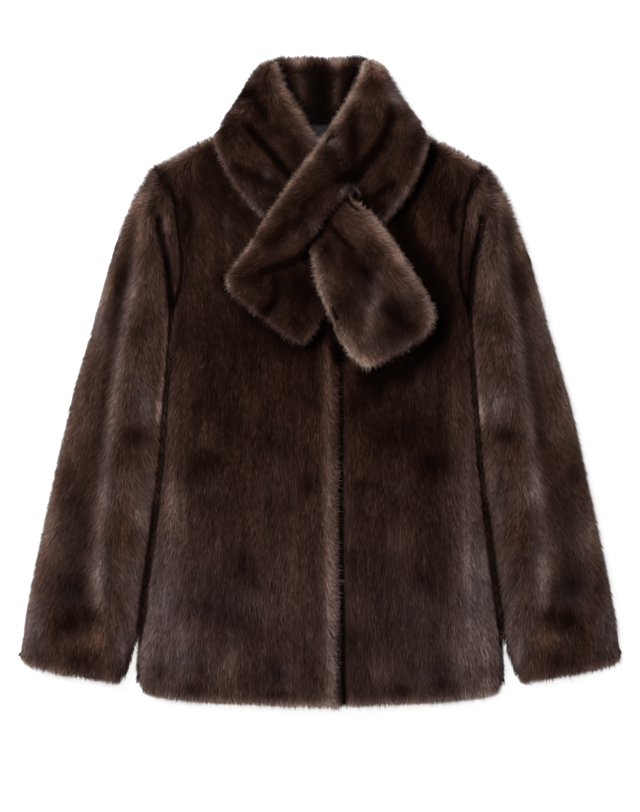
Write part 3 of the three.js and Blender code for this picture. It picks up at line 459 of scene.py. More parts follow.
# Painted silvery sheen on the strip and its tail
STRIP_SHEEN = [
    (64, 100, 14, 32, 0.55), (110, 95, 12, 10, 0.4), (80, 45, 24, 12, 0.4),
    (-85, 205, 16, 16, 0.5), (-62, 245, 8, 8, 0.6), (-8, 295, 8, 10, 0.5), (-88, 340, 16, 8, 0.2),
]

# Painted shade in the band's folds; they also dent its skin
BAND_FOLD_SHADE = [
    ([(86, 326), (82, 312), (78, 300), (70, 285), (55, 265), (46, 250), (40, 240)], 6, -0.17),
    ([(37, 322), (38, 300), (40, 285), (38, 265), (35, 246)], 7, -0.13),
    ([(84, 234), (75, 228), (64, 221)], 4, -0.18),
    ([(56, 214), (72, 205)], 8, -0.16),
    ([(0, 228), (-12, 218), (-20, 205), (-26, 190)], 6, -0.08),
    ([(-2, 165), (-15, 158), (-25, 149), (-40, 141), (-55, 136), (-72, 130)], 3.4, -0.36),
    ([(-56, 118), (-53, 105), (-58, 92), (-66, 84)], 4, -0.2),
    ([(-40, 185), (-55, 169), (-66, 165)], 8, -0.1),
]
# Painted highlights on the band's rims and at its slit
BAND_HIGHLIGHTS = [
    ([(56, 390), (49, 372), (42, 357), (32, 337), (20, 317), (9, 301), (0, 290), (-13, 275),
      (-27, 255), (-42, 236), (-58, 211), (-78, 184), (-93, 160), (-108, 146), (-119, 131),
      (-115, 116)], 7, 0.24),
    ([(80, 388), (93, 362), (105, 340), (122, 319), (133, 301), (137, 290)], 8, 0.15),
    ([(134, 286), (125, 267), (115, 244), (103, 224), (91, 207), (80, 193)], 5, 0.16),
    ([(29, 224), (26, 209), (19, 198), (9, 186), (-1, 178), (-9, 172)], 3.5, 0.14),
    ([(-115, 116), (-97, 98), (-77, 80), (-57, 66), (-42, 55), (-30, 48), (-15, 50), (-4, 64)],
      4.5, 0.12),
    ([(25, 225), (29, 232), (35, 236), (42, 232), (46, 225)], 2.6, 0.22),
    ([(-100, 135), (-80, 145), (-55, 155), (-30, 160)], 7, 0.05),
    ([(-92, 112), (-76, 97), (-64, 90)], 6, 0.05),
]
# Painted highlights near the band's top, and darker patches of painted shade
BAND_SPOTS = [
    (62, 381, 16, 9, 0.26), (12, 288, 12, 7, 0.16), (60, 357, 12, 6, -0.08),
    (70, 270, 12, 18, -0.05), (118, 292, 6, 16, -0.1), (112, 275, 9, 16, -0.07),
    (20, 240, 17, 8, -0.11), (-30, 118, 30, 20, -0.1), (-85, 121, 13, 8, -0.08),
    (-20, 100, 17, 17, -0.06), (92, 340, 9, 10, 0.06), (98, 285, 8, 10, 0.02),
    (-10, 262, 12, 10, 0.03), (48, 305, 8, 8, 0.04), (100, 318, 8, 6, -0.06),
]
# Painted silvery sheen on the band
BAND_SHEEN = [
    (95, 345, 14, 20, 0.6), (36, 232, 12, 8, 0.8), (18, 285, 14, 8, 0.3), (95, 215, 14, 14, 0.4),
    (120, 305, 12, 20, 0.4),
]
# Painted highlight along the neck's top rim
NECK_HIGHLIGHT = [
    ([(-52, 394), (0, 393), (52, 394)], 9, 0.42),
]


# Layers of soft noise in a fur's tone: width and height of a cell, strength and seed
BODY_GRAIN = [(6, 60, 0.035, 21), (26, 40, 0.05, 22), (10, 14, 0.025, 23)]
SLEEVE_GRAIN = [(6, 50, 0.025, 31), (20, 34, 0.04, 32)]
SLEEVE_MOTTLE = [(9, 12, 0.02, 33)]
BAND_GRAIN = [(13, 13, 0.05, 41), (6, 6, 0.03, 44)]
STRIP_GRAIN = [(12, 14, 0.05, 42), (6, 6, 0.03, 45)]
NECK_GRAIN = [(6, 20, 0.02, 43)]
UNDER_GRAIN = [(11, 120, 0.04, 51)]

# Tone of each fur before its spots and lines: 0 is black and 1 is the palest hair
BODY_TONE = 0.345
SLEEVE_TONE = 0.48
BAND_TONE = 0.30
STRIP_TONE = 0.35
# The neck's base tone is painted shade: near black in the recess under the bands
NECK_SHADE_TONE = 0.07
UNDER_TONE = 0.34

# Strength of the tables' spots and lines
COAT_SPOTS = 1.4
COLLAR_SPOTS = 1.3
COLLAR_FOLD_SHADE = 1.7
HIGHLIGHT_CORE = 0.62
HIGHLIGHT_FOOT = 0.36
FOOT_WIDTH = 2.4

# Painted highlight along the hem's rim, and how much the sleeve's grain leans
HEM_Y = -390.5
HEM_BEND = 0.0002
HEM_HIGHLIGHT = 0.25
HEM_HIGHLIGHT_HALF = 6
SLEEVE_LEAN = 0.15

# The neck's two light stripes: middle x at the top, lean, strength and where each fades
NECK_TOP = 385
NECK_STRIPES = [(-27, 0.16, 0.33, 35, 62), (20, -0.05, 0.39, 45, 70)]
STRIPE_HALF = 11
STRIPE_TAPER = 0.06

# Share of silver and painted sheen in each fur's colour, and in its spots of painted sheen
BODY_SILVER_SHEEN_BASE = 0.12
BODY_SHEEN_SPOTS = 0.8
SLEEVE_SILVER_SHEEN_BASE = 0.27
SLEEVE_SHEEN_SPOTS = 0.85
COLLAR_SILVER_SHEEN_BASE = 0.16
NECK_SILVER_SHEEN_BASE = 0.35
UNDER_SILVER_SHEEN_BASE = 0.05

# Rims: fan of the hair towards them and painted highlight on the tips, with more at the closing and
# shoulder
FAN = 0.25
FAN_ABOVE_HEM = 0.15
FAN_LAP = 0.4
FAN_SHOULDER = 0.8
TIP_HIGHLIGHT = 0.10
LAP_TIP_HIGHLIGHT = 0.03
SHOULDER_TIP_HIGHLIGHT = 0.05
COLLAR_FAN, COLLAR_TIP_HIGHLIGHT = 1.1, 0.12
NECK_FAN, NECK_TIP_HIGHLIGHT = 1.2, 0.14


def mirrored(table, x, y):
    return lines(table, np.abs(x), y)


def highlights(table, x, y):
    """Painted highlight lines with a wide soft foot."""
    wide = [(route, FOOT_WIDTH * half, strength) for route, half, strength in table]
    return HIGHLIGHT_CORE * lines(table, x, y) + HIGHLIGHT_FOOT * lines(wide, x, y)


def grain(table, x, y):
    """Sum of layers of soft noise."""
    return sum(
        strength * noise(x, y, size_x, size_y, seed) for size_x, size_y, strength, seed in table
    )


def body_tone(x, y):
    """Lighter towards the hem and the sides, with a painted highlight along the hem's rim, painted
    highlights on the shoulders, painted shadows below the collar and painted shade in the creases
    beside the sleeves.
    """
    tone = BODY_TONE + 0.10 * smooth(-y, -20, 330) + 0.03 * smooth(x, 120, 200)
    tone += 0.11 * smooth(np.abs(x), 135, 190) * smooth(-y, -70, 60)
    above_hem = y - HEM_Y - HEM_BEND * x**2
    tone += HEM_HIGHLIGHT * np.exp(-((above_hem / HEM_HIGHLIGHT_HALF) ** 2))
    tone += grain(BODY_GRAIN, x, y) + COAT_SPOTS * spots(BODY_SPOTS, x, y)
    return tone + mirrored(BODY_HIGHLIGHTS, x, y) + lines(BODY_COLLAR_SHADOWS, x, y) + mirrored(SIDE_CREASE_SHADE, x, y)


def lap_tone(x, y):
    return body_tone(x, y) + lines(LAP_HIGHLIGHT, x, y)


def underlap_tone(x, y):
    return body_tone(x, y) + lines(UNDERLAP_SHADOW, x, y)


def sleeve_tone(x, y):
    lean = x - SLEEVE_LEAN * y * np.sign(x)
    tone = SLEEVE_TONE + grain(SLEEVE_GRAIN, lean, y) + grain(SLEEVE_MOTTLE, x, y)
    tone += COAT_SPOTS * spots(SLEEVE_SPOTS, np.abs(x), y) + mirrored(SLEEVE_HIGHLIGHTS, x, y)
    return tone + mirrored(SLEEVE_RIDGE_HIGHLIGHT_AND_SHADE, x, y) + mirrored(SIDE_CREASE_SHADE, x, y)


def band_tone(x, y):
    """Lighter up the chest and again up to the neck, with painted highlights on its rims and
    painted shade in its folds.
    """
    tone = BAND_TONE + 0.05 * smooth(y, 60, 180) + 0.05 * smooth(y, 240, 360)
    tone += grain(BAND_GRAIN, x, y) + COLLAR_SPOTS * spots(BAND_SPOTS, x, y)
    return tone + highlights(BAND_HIGHLIGHTS, x, y) + COLLAR_FOLD_SHADE * lines(BAND_FOLD_SHADE, x, y)


# Strip tone with painted highlights on its rims and painted shade in its folds
def strip_tone(x, y):
    tone = STRIP_TONE + grain(STRIP_GRAIN, x, y) + COLLAR_SPOTS * spots(STRIP_SPOTS, x, y)
    return tone + highlights(STRIP_HIGHLIGHTS, x, y) + COLLAR_FOLD_SHADE * lines(STRIP_FOLD_SHADE, x, y)


def neck_tone(x, y):
    """Two light stripes that lean together and fade downwards on a near-black base of painted
    shade, and a painted highlight along the top.
    """
    drop = NECK_TOP - y
    tone = NECK_SHADE_TONE + grain(NECK_GRAIN, x, y) + lines(NECK_HIGHLIGHT, x, y)
    for middle, lean, strength, fade_from, fade_to in NECK_STRIPES:
        off = (x - middle - lean * drop) / (STRIPE_HALF - STRIPE_TAPER * drop)
        tone += strength * np.exp(-(off**2)) * (1 - smooth(drop, fade_from, fade_to))
    return tone


def under_tone(x, y):
    return UNDER_TONE + grain(UNDER_GRAIN, x, y) + mirrored(SIDE_CREASE_SHADE, x, y)


def body_silver_sheen(x, y):
    """More silver and painted sheen towards the hem and the sides, and spots of painted sheen."""
    base = BODY_SILVER_SHEEN_BASE + 0.26 * smooth(-y, 0, 300) + 0.12 * smooth(np.abs(x), 120, 180)
    return base + BODY_SHEEN_SPOTS * spots(BODY_SHEEN, x, y)


def sleeve_silver_sheen(x, y):
    return SLEEVE_SILVER_SHEEN_BASE + SLEEVE_SHEEN_SPOTS * spots(SLEEVE_SHEEN, np.abs(x), y)


def band_silver_sheen(x, y):
    return COLLAR_SILVER_SHEEN_BASE + spots(BAND_SHEEN, x, y)


def strip_silver_sheen(x, y):
    return COLLAR_SILVER_SHEEN_BASE + spots(STRIP_SHEEN, x, y)


def neck_silver_sheen(x, y):
    return np.full_like(x, NECK_SILVER_SHEEN_BASE)


def under_silver_sheen(x, y):
    return np.full_like(x, UNDER_SILVER_SHEEN_BASE)


def plain_rim(x, y):
    """Fan and painted tip highlight at a rim: little at the hem, most on the shoulder."""
    shoulder = smooth(y, 150, 240)
    above = smooth(y, -320, -270)
    fan = FAN + FAN_ABOVE_HEM * above + FAN_SHOULDER * shoulder
    return fan, TIP_HIGHLIGHT + SHOULDER_TIP_HIGHLIGHT * shoulder


def lap_rim(x, y):
    """As a plain rim, with more fan and more painted tip highlight along the closing."""
    lap = smooth(x, -40, -10) * (1 - smooth(x, 25, 40))
    fan, light = plain_rim(x, y)
    return fan + FAN_LAP * lap, light + LAP_TIP_HIGHLIGHT * lap


def collar_rim(x, y):
    return np.full_like(x, COLLAR_FAN), np.full_like(x, COLLAR_TIP_HIGHLIGHT)


def neck_rim(x, y):
    top = smooth(y, 368, 382)
    return NECK_FAN * top, NECK_TIP_HIGHLIGHT * top


# How far the skin's edge lies inside the fur's outline, in millimetres
EDGE_INSET = 2
LAP_CORNER_INSET = -4
HIDDEN_INSET = 9
COLLAR_INSET = 12
COLLAR_TOP_INSET = 4
NECK_TOP_INSET = -3


def edge_inset(x, y):
    """Less at the closing's lower corner, whose wall is a step between the two fronts."""
    corner = smooth(x, 8, 16) * (1 - smooth(x, 22, 26)) * smooth(-y, 376, 386)
    return EDGE_INSET + (LAP_CORNER_INSET - EDGE_INSET) * corner


def hidden_inset(x, y):
    return np.full_like(x, HIDDEN_INSET)


def collar_inset(x, y):
    return COLLAR_INSET + (COLLAR_TOP_INSET - COLLAR_INSET) * smooth(y, 368, 384)


def neck_inset(x, y):
    """As the collar's, and past the outline where this piece is the collar's top rim."""
    top = smooth(y, 366, 380) * (1 - smooth(np.abs(x), 56, 68))
    return COLLAR_INSET + (NECK_TOP_INSET - COLLAR_INSET) * top


# Rounded corners of a skin, mirrored: middle x, y, radius, direction in degrees, half its angle
HEM_CORNERS = [(203.5, -358, 12.5, -45, 46)]
BACK_CORNERS = [(203.5, -358, 9, -45, 46)]
CUFF_CORNERS = [(346.5, -330, 9, -39, 40), (252, -344, 14.5, -123.5, 47)]
UNDER_CORNERS = [(346.5, -330, 4, -39, 40), (252, -344, 9, -123.5, 47)]
TAIL_CORNERS = [(113, 80, 18, -15.5, 48)]
BAND_CORNERS = [(99.5, 124, 7, -8, 43)]

# Each panel's facts. Of its skin: cuts of each edge, sink as a share of INSET_TOP, inset from the
# outline, more of it ahead of the hair, rounds that settle it, level wall that counts as rim,
# folds, mirrored side folds and round corners. Of its fur: number of hairs, length in
# millimetres, share of spikes, flow, tone, silver and painted sheen, and rim. Sheet: width, length
# and area in metres.
UNDER = dict(
    cuts=1, sink=0, inset=hidden_inset, length=13,
    tone=under_tone, silver_sheen=under_silver_sheen, rim=plain_rim,
)
FRONT = dict(
    cuts=3, folds=BODY_COLLAR_SHADOWS, sides=SIDE_CREASE_SHADE, corners=HEM_CORNERS, length=13,
    flow=body_flow, silver_sheen=body_silver_sheen,
)
SLEEVE_UNDER = dict(
    UNDER, corners=UNDER_CORNERS, hairs=10000, flow=sleeve_flow, sheet=(0.13, 0.63, 0.072),
)
SLEEVE_TOP = dict(
    cuts=3, ahead=1.5, sides=SIDE_CREASE_SHADE + SLEEVE_RIDGE_HIGHLIGHT_AND_SHADE, corners=CUFF_CORNERS,
    hairs=100000, length=13, flow=sleeve_flow, tone=sleeve_tone, silver_sheen=sleeve_silver_sheen,
    rim=plain_rim, sheet=(0.13, 0.63, 0.072),
)
COLLAR = dict(
    cuts=2, inset=collar_inset, ahead=-8, settle=6, wall=0.45,
    hairs=105000, length=12, spikes=0.14, rim=collar_rim,
)
PANELS = {
    "back_panel": dict(
        UNDER, corners=BACK_CORNERS, hairs=24000, flow=body_flow, sheet=(0.446, 0.706, 0.276),
    ),
    "front_right": dict(
        FRONT, hairs=150000, tone=lap_tone, rim=lap_rim, sheet=(0.243, 0.695, 0.144),
    ),
    "front_left": dict(
        FRONT, hairs=140000, tone=underlap_tone, rim=plain_rim, sheet=(0.24, 0.695, 0.143),
    ),
    "sleeve_right_under": SLEEVE_UNDER,
    "sleeve_right_top": SLEEVE_TOP,
    "sleeve_left_under": SLEEVE_UNDER,
    "sleeve_left_top": SLEEVE_TOP,
    "collar_back": dict(
        cuts=2, inset=neck_inset, ahead=2, hairs=26000, length=11,
        flow=neck_flow, tone=neck_tone, silver_sheen=neck_silver_sheen, rim=neck_rim,
        sheet=(0.263, 0.095, 0.0195),
    ),
    "collar_strip_tail": dict(
        COLLAR, folds=STRIP_FOLD_SHADE, corners=TAIL_CORNERS, flow=line_flow(STRIP_LINE),
        tone=strip_tone, silver_sheen=strip_silver_sheen, sheet=(0.11, 0.46, 0.046),
    ),
    "collar_band_slit": dict(
        COLLAR, folds=BAND_FOLD_SHADE, corners=BAND_CORNERS, flow=line_flow(BAND_LINE),
        tone=band_tone, silver_sheen=band_silver_sheen, sheet=(0.13, 0.41, 0.045),
    ),
}


def arrays(mesh):
    """Points, triangles and edges of a mesh."""
    points = np.empty(len(mesh.vertices) * 3)
    mesh.vertices.foreach_get("co", points)
    mesh.calc_loop_triangles()
    triangles = np.empty(len(mesh.loop_triangles) * 3, np.int32)
    mesh.loop_triangles.foreach_get("vertices", triangles)
    edges = np.empty(len(mesh.edges) * 2, np.int32)
    mesh.edges.foreach_get("vertices", edges)
    return points.reshape(-1, 3), triangles.reshape(-1, 3), edges.reshape(-1, 2)


def gathered(index, values, count):
    """Sum of the values that fall on each index."""
    columns = [np.bincount(index, column, count) for column in values.T]
    return np.stack(columns, 1)


def normals_of(points, triangles):
    a, b, c = (points[triangles[:, k]] for k in range(3))
    face = np.cross(b - a, c - a)
    total = sum(gathered(triangles[:, k], face, len(points)) for k in range(3))
    return unit(total)


def relaxed(values, edges, rounds, share=0.5):
    """Values moved towards the mean of their neighbours."""
    count = len(values)
    flat = values.reshape(count, -1)
    ends = np.concatenate([edges[:, 0], edges[:, 1]])
    others = np.concatenate([edges[:, 1], edges[:, 0]])
    degree = np.maximum(np.bincount(ends, minlength=count), 1)[:, None]
    for _ in range(rounds):
        mean = gathered(ends, flat[others], count) / degree
        flat = flat + share * (mean - flat)
    return flat.reshape(values.shape)


def tree_without(name):
    """Ray tree of all CAD solids but one."""
    points = []
    faces = []
    for other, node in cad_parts.items():
        if other == name:
            continue
        place, triangles, _ = arrays(node.data)
        faces.extend((triangles + len(points)).tolist())
        points.extend(place.tolist())
    return BVHTree.FromPolygons(points, faces)


def nearest_in(places, wanted, targets):
    """Index into places of the nearest wanted one, and its distance, for each target."""
    index = np.flatnonzero(wanted)
    tree = KDTree(len(index))
    for k in index:
        tree.insert(places[k], int(k))
    tree.balance()
    found = [tree.find(target) for target in targets]
    return np.array([hit[1] for hit in found]), np.array([hit[2] for hit in found])


def refined(node, cuts):
    """Finer mesh of a CAD solid whose upper facets are softened and whose outline stays."""
    work = bmesh.new()
    work.from_mesh(node.data)
    bmesh.ops.remove_doubles(work, verts=work.verts, dist=0.01 * MM)
    bmesh.ops.subdivide_edges(work, edges=work.edges, cuts=cuts, use_grid_fill=True)
    mesh = bpy.data.meshes.new(node.name)
    work.to_mesh(mesh)
    work.free()
    points, triangles, edges = arrays(mesh)
    upward = smooth(normals_of(points, triangles)[:, 2], *FACET_RISE)
    softened = relaxed(points[:, 2], edges, FACET_ROUNDS)
    points[:, 2] += upward * (softened - points[:, 2])
    mesh.vertices.foreach_set("co", points.ravel())
    return mesh


def depth_below(points, triangles, normals):
    """Thickness of a solid under each point that faces up."""
    tree = BVHTree.FromPolygons(points.tolist(), triangles.tolist())
    depth = np.full(len(points), np.inf)
    down = Vector((0, 0, -1))
    for k in np.flatnonzero(normals[:, 2] > TOP_RISE[0]):
        hit = tree.ray_cast(Vector(points[k]) + down * 0.1 * MM, down)
        if hit[3] is not None:
            depth[k] = hit[3]
    return depth


def place_of(points):
    """X and Y of points, in millimetres."""
    return points[:, 0] / MM, points[:, 1] / MM


def steepness(normals):
    return np.linalg.norm(normals[:, :2], axis=1)


def seam_reach(point):
    """How near a neighbour has to be to count as joined to a side."""
    if point[1] < SEAMS_ABOVE:
        return GAP_NEAR
    return SEAM_FAR if abs(point[0]) > SIDES_FROM else SEAM_NEAR


def surroundings(name, points, normals, edges):
    """How free each side is of neighbours, from 0 to 1, and which points show."""
    tree = tree_without(name)
    level = unit(normals * [1, 1, 0])
    steep = steepness(normals)
    free = np.ones(len(points))
    shown = np.zeros(len(points), bool)
    for k, (point, normal) in enumerate(zip(points, normals)):
        if steep[k] > SIDE_LEVEL:
            hit = tree.ray_cast(Vector(point), Vector(level[k]), SEAM_FAR)
            if hit[0] is not None:
                far = seam_reach(point)
                free[k] = smooth(hit[3], far / 2, far)
        if normal[2] > UNDERSIDE:
            upward = Vector((normal[0], normal[1], max(normal[2], 0) + COVER_LIFT)).normalized()
            reach = COVER_ABOVE if normal[2] > TOP_SIDE else COVER_BESIDE
            hit = tree.ray_cast(Vector(point) + upward * MM, upward, reach)
            shown[k] = hit[0] is None
    free = relaxed(free, edges, FREE_ROUNDS)
    return free, shown & ((steep < FLAT_LEVEL) | (free > FREE_SIDE))


def side_inset(points, level, free, shoulder, panel):
    """How far a side lies inside the fur's outline, or past it at a seam."""
    x, y = place_of(points)
    flow = unit(panel["flow"](x, y))
    ahead = np.maximum(np.sum(flow * level[:, :2], 1), 0)
    gap = (points[:, 1] < SEAMS_ABOVE) & (np.abs(points[:, 0]) < GAP_WITHIN)
    side = panel.get("inset", edge_inset)(x, y)
    side = side + panel.get("ahead", AHEAD_INSET) * ahead + GAP_INSET * gap
    side = side * (1 - SHOULDER_EASE * shoulder) + EDGE_WAVE * noise(x, y, 11, 11, 63)
    seam = (1 - free) * (np.abs(points[:, 0]) > SIDES_FROM) * ~gap
    return side * MM * free - SEAM_PUSH * seam


def top_inset(points, triangles, normals, panel):
    """How far a top moves, mostly down, with dents and folds no higher than the fur's top."""
    x, y = place_of(points)
    depth = THIN_SHARE * depth_below(points, triangles, normals)
    sunk = np.minimum(panel.get("sink", 1) * INSET_TOP, depth)
    dent = noise(x, y, 30, 42, 61) + FINE_DENT * noise(x, y, 13, 18, 62)
    folds = lines(panel.get("folds", ()), x, y) + mirrored(panel.get("sides", ()), x, y)
    relief = DENT * dent + FOLD_DEPTH * np.clip(folds, *FOLD_RANGE)
    relief = np.maximum(relief, -sunk) * smooth(normals[:, 2], *FLAT_RISE)
    return relief - sunk * smooth(normals[:, 2], *TOP_RISE)


def with_round_corners(points, corners):
    """Points with what lies past a rounded corner pulled back to its round."""
    for mid_x, mid_y, radius, toward, half in corners:
        x, y = place_of(points)
        off = np.stack([np.abs(x) - mid_x, y - mid_y], 1)
        distance = np.linalg.norm(off, axis=1)
        lean = np.array([math.cos(math.radians(toward)), math.sin(math.radians(toward))])
        within = off @ lean > distance * math.cos(math.radians(half))
        past = within & (distance > radius)
        pulled = off * (radius / np.maximum(distance, 1e-9))[:, None] + [mid_x, mid_y]
        pulled[:, 0] *= np.sign(x)
        points[past, :2] = pulled[past] * MM
    return points


class Skin:
    """Skin of one panel, with what its fur needs to know at each point."""

    def __init__(self, name, panel):
        self.mesh = refined(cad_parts[name], panel["cuts"])
        points, self.triangles, edges = arrays(self.mesh)
        normals = normals_of(points, self.triangles)
        free, shown = surroundings(name, points, normals, edges)

        shoulder = smooth(points[:, 1] / MM, *SHOULDER_RISE)
        shoulder = shoulder * (np.abs(points[:, 0]) > SHOULDER_FROM)
        rounded = relaxed(points[:, :2], edges, CORNER_ROUNDS) - points[:, :2]
        share = free * (1 - shoulder) * smooth(steepness(normals), *OUTLINE_LEVEL)
        points[:, :2] += share[:, None] * rounded

        normals = normals_of(points, self.triangles)
        level = unit(relaxed(normals * [1, 1, 0], edges, LEVEL_ROUNDS))
        inset = side_inset(points, level, free, shoulder, panel) * steepness(normals)
        move = -inset[:, None] * level
        move[:, 2] = top_inset(points, self.triangles, normals, panel)
        points = points + relaxed(move, edges, panel.get("settle", INSET_ROUNDS))
        self.points = with_round_corners(points, panel.get("corners", ()))
        self.mesh.vertices.foreach_set("co", self.points.ravel())
        self.mesh.update()

        self.normals = normals_of(self.points, self.triangles)
        rise = self.normals[:, 2]
        _, hidden = nearest_in(self.points, shown, self.points)
        self.density = (hidden < COVERED_MARGIN) * smooth(rise, *BARE_BELOW)
        rim = shown & (free > FREE_RIM) & (np.abs(rise) < panel.get("wall", RIM_WALL))
        nearest, self.rim_distance = nearest_in(self.points, rim, self.points)
        self.rim_out = relaxed(level[nearest], edges, RIM_ROUNDS)


def object_of(name, mesh, material):
    piece = bpy.data.objects.new(name, mesh)
    bpy.context.scene.collection.objects.link(piece)
    mesh.materials.clear()
    mesh.materials.append(material)
    return piece


def scattered(skin, count):
    """Evenly random places on the part of a skin that has hair: triangles and corner shares."""
    corners = skin.points[skin.triangles]
    spans = corners[:, 1:] - corners[:, :1]
    area = np.linalg.norm(np.cross(spans[:, 0], spans[:, 1]), axis=1)
    total = np.cumsum(area * skin.density[skin.triangles].mean(1))
    picks = (np.arange(count) + rng.random(count)) / count * total[-1]
    face = skin.triangles[np.minimum(np.searchsorted(total, picks), len(total) - 1)]
    out = np.sqrt(rng.random(count))
    turn = rng.random(count)
    return face, np.stack([1 - out, out * (1 - turn), out * turn], 1)


class Fur:
    """Tapered hairs on a skin: each hair's three points, their tones and its share of silver and
    painted sheen.
    """

    def __init__(self, skin, panel):
        self.panel = panel
        self.count = panel["hairs"]
        face, shares = scattered(skin, self.count)

        def at(values):
            return np.einsum("hc,hc...->h...", shares, values[face])

        self.root = at(skin.points)
        self.normal = unit(at(skin.normals))
        away = at(skin.rim_distance)
        self.rim = np.exp(-away / RIM_REACH)
        self.edge = np.exp(-((away / RIM_TIPS) ** 2))
        self.fan, self.tip_highlight = panel["rim"](*place_of(self.root))
        self.leader = self.tufts()
        forward = self.combed(at(skin.rim_out)[:, :2])
        self.spike = rng.random(self.count) < panel.get("spikes", SPIKES)
        self.tip = self.grown(forward)
        self.points = self.widened(forward)
        self.tone, self.silver_sheen = self.shades()

    def tufts(self):
        """The nearest leading hair of each hair."""
        chosen = np.zeros(self.count, bool)
        chosen[rng.permutation(self.count)[: self.count // TUFT_SIZE]] = True
        return nearest_in(self.root, chosen, self.root)[0]

    def combed(self, outward):
        """Direction of each hair along the skin: the panel's flow, fanned out at a rim."""
        flow = unit(self.panel["flow"](*place_of(self.root)))
        flow = flow * (1 - np.minimum(self.fan, FAN_LIMIT) * self.rim)[:, None]
        flow = unit(flow + (self.fan * self.rim)[:, None] * outward)
        swing = rng.normal(0, SWING, self.count)[self.leader] + rng.normal(0, SWING, self.count)
        flow = flow + swing[:, None] * np.stack([-flow[:, 1], flow[:, 0]], 1)
        forward = np.concatenate([flow, np.zeros((self.count, 1))], 1)
        rise = np.sum(forward * self.normal, 1)
        held = np.where(rise > 0, smooth(self.normal[:, 2], *HELD_RISE), 1)
        return unit(forward - self.normal * (rise * held)[:, None])

    def grown(self, forward):
        """Tips of the hairs, drawn together in tufts."""
        length = self.panel["length"] * MM * rng.uniform(*LENGTHS, self.count)
        length *= 1 + self.edge * np.where(self.spike, SPIKE_SHORTER, RIM_SHORTER)
        lift = (LIFT + rng.normal(0, LIFT_SPREAD, self.count))[:, None]
        tip = self.root + length[:, None] * (forward * np.cos(lift) + self.normal * np.sin(lift))
        return tip + (TUFT + RIM_TUFT * self.rim)[:, None] * (tip[self.leader] - tip)

    def widened(self, forward):
        """The hairs as triangles, wide at the root, rolled a little, and above the floor."""
        roll = (rng.normal(0, 1, self.count) * ROLL)[:, None]
        up = unit(self.normal + [0, 0, ROLL_UP])
        wide = unit(np.cross(forward, up)) * np.cos(roll) + up * np.sin(roll)
        half = 0.5 * HAIR_WIDTH * rng.uniform(*WIDTHS, self.count)
        wide *= (half * (1 - RIM_NARROWER * self.edge))[:, None]
        points = np.stack([self.root - wide, self.root + wide, self.tip], 1)
        points[:, :, 2] = np.maximum(points[:, :, 2], LOWEST)
        return points

    def shades(self):
        """Tones from the tables at root and tip, with roots darkened as painted shade, painted
        highlights on rim tips, a few pale hairs as painted glints, and silver sheen, varied from
        hair to hair.
        """
        silver_sheen = self.panel["silver_sheen"](*place_of(self.tip)) + RIM_SHEEN * self.tip_highlight * self.edge
        silver_sheen = np.clip(silver_sheen + rng.normal(0, SILVER_SHEEN_JITTER, self.count), *SHADES)
        jitter = rng.normal(0, TUFT_JITTER, self.count)[self.leader]
        jitter = jitter + rng.normal(0, HAIR_JITTER, self.count)
        jitter *= 1 - SILVER_SHEEN_CALM * silver_sheen
        jitter += np.where(rng.random(self.count) < GLINT_HAIRS, GLINT_TONE, 0)

        def toned(points):
            tone = self.panel["tone"](*place_of(points))
            return MIDDLE_TONE + CONTRAST * (tone - MIDDLE_TONE) + jitter

        root = ROOT_SHADE * toned(self.root)
        painted_highlight = self.tip_highlight * self.edge * np.where(self.spike, SPIKE_HIGHLIGHT, RIM_HIGHLIGHT)
        tip = TIP_BASE + TIP_TONE * toned(self.tip) + painted_highlight
        return np.clip(np.stack([root, root, tip], 1), *SHADES), silver_sheen


# Map of the hairs for the export: each lies at its tone and its share of silver and painted sheen,
# a little wide
MAP_SPREAD = 0.006
MAP_MARGIN = 0.01


def fur_mesh(name, fur):
    """Mesh of loose triangles, with tone and silver sheen as attributes and as a map for the
    export.
    """
    corners = fur.count * 3
    mesh = bpy.data.meshes.new(name)
    mesh.vertices.add(corners)
    mesh.vertices.foreach_set("co", fur.points.ravel())
    mesh.loops.add(corners)
    mesh.loops.foreach_set("vertex_index", np.arange(corners, dtype=np.int32))
    mesh.polygons.add(fur.count)
    mesh.polygons.foreach_set("loop_start", np.arange(fur.count, dtype=np.int32) * 3)
    tone = fur.tone.ravel()
    silver_sheen = np.repeat(fur.silver_sheen, 3)
    mesh.attributes.new("tone", "FLOAT", "POINT").data.foreach_set("value", tone)
    mesh.attributes.new("silver_sheen", "FLOAT", "POINT").data.foreach_set("value", silver_sheen)
    spread = np.tile([-MAP_SPREAD, MAP_SPREAD, 0], fur.count)
    place = MAP_MARGIN + (1 - 2 * MAP_MARGIN) * np.clip(np.stack([tone, silver_sheen + spread], 1), 0, 1)
    mesh.uv_layers.new(name="OFBake").uv.foreach_set("vector", place.ravel())
    mesh.update(calc_edges=True)
    mesh.validate()
    return mesh


def colour(red, green, blue):
    """Linear colour of a screen colour from 0 to 255."""
    def linear(value):
        share = value / 255
        return share / 12.92 if share <= 0.04045 else ((share + 0.055) / 1.055) ** 2.4

    return (linear(red), linear(green), linear(blue), 1)


def new_material(name):
    material = bpy.data.materials.new(name)
    material.use_nodes = True
    nodes = material.node_tree.nodes
    return material, nodes, material.node_tree.links, nodes["Principled BSDF"]


def ramp(nodes, stops):
    node = nodes.new("ShaderNodeValToRGB")
    elements = node.color_ramp.elements
    elements[0].position, elements[0].color = stops[0]
    elements[1].position, elements[1].color = stops[-1]
    for position, value in stops[1:-1]:
        elements.new(position).color = value
    return node


